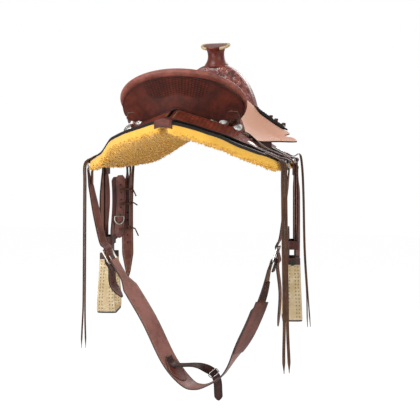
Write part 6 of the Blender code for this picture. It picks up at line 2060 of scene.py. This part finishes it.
    def make_connector(self) -> None:
        """The narrow strap from the band's inner face, over and down ahead of it."""
        body, side, inward = self.inner_face(30)
        off = self.leather / 2 + FORM.strap / 2 + FORM.layer * 5
        at = int(0.36 * 30)
        bx, by, bz = self.bottom_x, self.y, self.bottom_z
        points = [tuple(body[k] + inward[k] * off) for k in (at, at + 1)]
        points += [(bx - 0.020, by + 0.010, bz + 0.062), (bx + 0.010, by + 0.024, bz + 0.052),
                   (bx + 0.032, by + 0.044, bz + 0.034), (bx + 0.040, by + 0.058, bz + 0.006),
                   (bx + 0.042, by + 0.060, bz - 0.028), (bx + 0.044, by + 0.058, bz - 0.052)]
        line = curve_through(points, 80)
        share = eased((np.linspace(0, 1, 80) - 0.25) / 0.55)[:, None]
        widths = side[at] * (1 - share) + np.array((0.95, 0.30, 0.0)) * share
        run = lengths(line)
        half = self.connector_width / 2 * tip_share(run, 0.012, 0.02)
        item = strap_piece("tie_strap", line, widths, half, FORM.strap)
        dress(item, Leather("tie_leather", (0.060, 0.020, 0.015), (0.030, 0.012, 0.010), edge=BLACK,
                            holes=(0.06, 0.135)))
        settle(item, "connector", "dark_leather", "cinch_connector")
        self.make_small_buckle(line, widths, 50)

    def make_small_buckle(self, line: Array, widths: Array, at: int) -> None:
        """A rectangle of wire round the tie strap: a superellipse in the strap's plane."""
        tangent = unit(line[at + 1] - line[at - 1])
        across = unit(widths[at] - tangent * (widths[at] @ tangent))
        normal = np.cross(tangent, across)
        square = flat_section(65, 0.45) * (0.0160, 0.0095)
        centre = line[at] + normal * 0.0036
        wire = centre + across * square[:, :1] + tangent * square[:, 1:]
        out = unit(across * square[:, :1] + tangent * square[:, 1:])
        item = wire_piece("tie_buckle", wire, out, normal, 0.0014)
        dress(item, STEEL)
        settle(item, "connector", "steel")

    def build(self) -> None:
        """Band, billets and tie."""
        self.make_cinch()
        self.make_linings()
        for side in Side:
            self.make_billet(side)
        self.make_connector()


@dataclass
class FrontStraps:
    """The latigo on the near side and the billet on the off side, folded over the front dees."""

    flank: Flank
    x: float = 0.2835
    y: float = 0.118
    z: float = -0.030
    width: float = 0.038
    turned: tuple[float, float, float] = (0.95, 0.30, 0.0)
    fold_face: tuple[float, float, float] = (0.93, 0.36, 0.0)
    fold_top: float = -0.082
    fold_end: float = -0.292
    tie_heights: tuple[float, float, float] = (-0.130, -0.178, -0.262)
    ring_height: float = -0.226

    def make(self, side: Side) -> None:
        """Up the inner side of the dee's bow, over it and down to a pointed tail."""
        near = side is Side.NEAR
        node = "latigo_left" if near else "off_billet_right"
        end, inner_end = (-0.430, -0.250) if near else (-0.505, -0.300)
        turn = self.flank.dee_turn
        bow = self.z - self.flank.dee_radius
        inner = [(self.x - turn, z) for z in np.linspace(inner_end, bow - 0.004, 30)]
        eye = arc(self.x, bow, turn, 165, 10, 14)
        fall = curve_through([eye[-1], (self.x + 0.0045, -0.085), (self.x + 0.0045, 0.5 * (end - 0.08)),
                              (self.x + 0.002, end)], 60)
        line = np.vstack([inner, eye, fall[1:]])
        path = np.stack([side.value * line[:, 0], 0 * line[:, 0] + self.y, line[:, 1]], axis=1)
        run = lengths(path)
        top = run[len(inner) - 1]
        tip = 0.085 if near else 0.030
        at = (top - 0.060, top - 0.020, top + 0.042, top + 0.085, run[-1] - tip, run[-1] - 0.3 * tip, run[-1])
        half = np.interp(run, at, np.array((1.0, 0.37, 0.37, 1.0, 1.0, 0.45, 0.03)) * self.width / 2)
        face = eased((-0.075 - path[:, 2]) / 0.070)[:, None] * (0.92 if near else 0.20)
        sides = unit(np.array((0.0, 1.0, 0.0)) * (1 - face) + np.array(self.turned) * face)
        sides[:len(inner)] = (0.0, 1.0, 0.0)
        item = strap_piece(node + "_leather", path, sides, half, self.flank.billet)
        holes = (run[-1] - 0.235, run[-1] - 0.10)
        dress(item, replace(HOLED, name="front_strap_" + side.word, holes=holes))
        settle(item, "latigo" if near else "off_billet", "leather", node)

    def make_fold(self) -> None:
        """The near strap's spare length, folded down beside it and tied, holding a half-round ring."""
        z = np.linspace(self.fold_top, self.fold_end, 60)
        x = -self.x - 0.0235 - 0.0035 * np.sin((z - self.fold_top) * 21)
        path = np.stack([x, self.y - 0.018 + 0 * z, z], axis=1)
        run = lengths(path)
        half = self.width * 0.41 * np.sqrt(np.clip(np.minimum(run + 0.004, run[-1] - run) / 0.016, 0.03, 1.0))
        sides = np.tile(self.fold_face, (60, 1))
        beside = path + (-0.0185, 0.0075, -0.006)
        keeper = strap_piece("latigo_keeper", beside, sides, half, self.flank.billet)
        dress(keeper, DARK_STRAP)
        settle(keeper, "latigo", "dark_leather")
        fold = strap_piece("latigo_fold", path, sides, half, self.flank.billet)
        dress(fold, replace(HOLED, name="latigo_fold_leather", gloss=0.5, stitch=None, holes=(0.020, 0.185)))
        settle(fold, "latigo", "leather")
        ties = []
        for number, height in enumerate(self.tie_heights):
            turn = np.linspace(0, 4 * math.pi, 70)
            loop = np.stack([-self.x - 0.011 + 0.0275 * np.cos(turn), self.y - 0.009 + 0.0135 * np.sin(turn),
                             height + 0.0042 * turn / (4 * math.pi) + 0.002 * np.sin(turn)], axis=1)
            share = np.linspace(0, 1, 12)
            drop = -0.026 * (0.3 if number == 1 else 1.0)
            tail = loop[-1] + np.stack([0.015 * share + 0.004 * number, -0.006 * share, drop * share], axis=1)
            line = np.vstack([loop, tail[1:]])
            ties.append(strap_piece(f"latigo_tie_{number}", line, np.tile(UP, (len(line), 1)),
                                    np.full(len(line), 0.0024), 0.0018, flat_section(11, 0.6)))
        item = joined("latigo_ties", ties)
        dress(item, LACE)
        settle(item, "latigo", "leather")
        turn = np.linspace(math.radians(-20), math.radians(200), 48)
        face = np.array(self.fold_face)
        middle = np.array((-self.x - 0.024, self.y - 0.0255, self.ring_height))
        wire = middle + face * (0.0155 * np.cos(turn))[:, None] - UP * (0.0190 * np.sin(turn))[:, None]
        wire = np.vstack([wire, wire[:1]])
        out = unit(wire - middle)
        normal = np.cross(face, UP)
        item = wire_piece("latigo_half_ring", wire, out, normal, 0.0019)
        dress(item, STEEL)
        settle(item, "latigo", "steel")

    def build(self) -> None:
        """Both straps."""
        for side in Side:
            self.make(side)
        self.make_fold()


@dataclass
class Hardware:
    """What stays as the CAD made it: dees, buckles, bolts, folds, hobbles, conchos and the tree."""

    def build(self) -> None:
        """Dresses each CAD node that no piece stands for."""
        finishes = {"hanger": EDGE_FREE, "hobble": DARK_STRAP, "bolt": DULL_STEEL, "rigging": DARK_STRAP,
                    "dee": STEEL, "buckle_tongue": STEEL, "flank_buckle": STEEL, "concho": SILVER,
                    "tree": TREE_IN_SHADE, "ground_seat": PLAIN, "horn_post": STEEL}
        for name, node in sorted(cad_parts.items()):
            found = next((finish for word, finish in finishes.items() if word in name), PLAIN)
            dress(node, found)
            LOG.info("%s has its finish", name)


def main() -> None:
    """Builds the studio and every sub-assembly."""
    logging.basicConfig(level=logging.INFO, format="%(message)s")
    Studio().build()
    Strings().build()
    Skirts().build()
    Bars().build()
    seat = Seat()
    seat.build()
    Cantle(seat).build()
    Fork().build()
    Legs().build()
    flank = Flank()
    flank.build()
    FrontStraps(flank).build()
    Hardware().build()


if __name__ == "__main__":
    main()
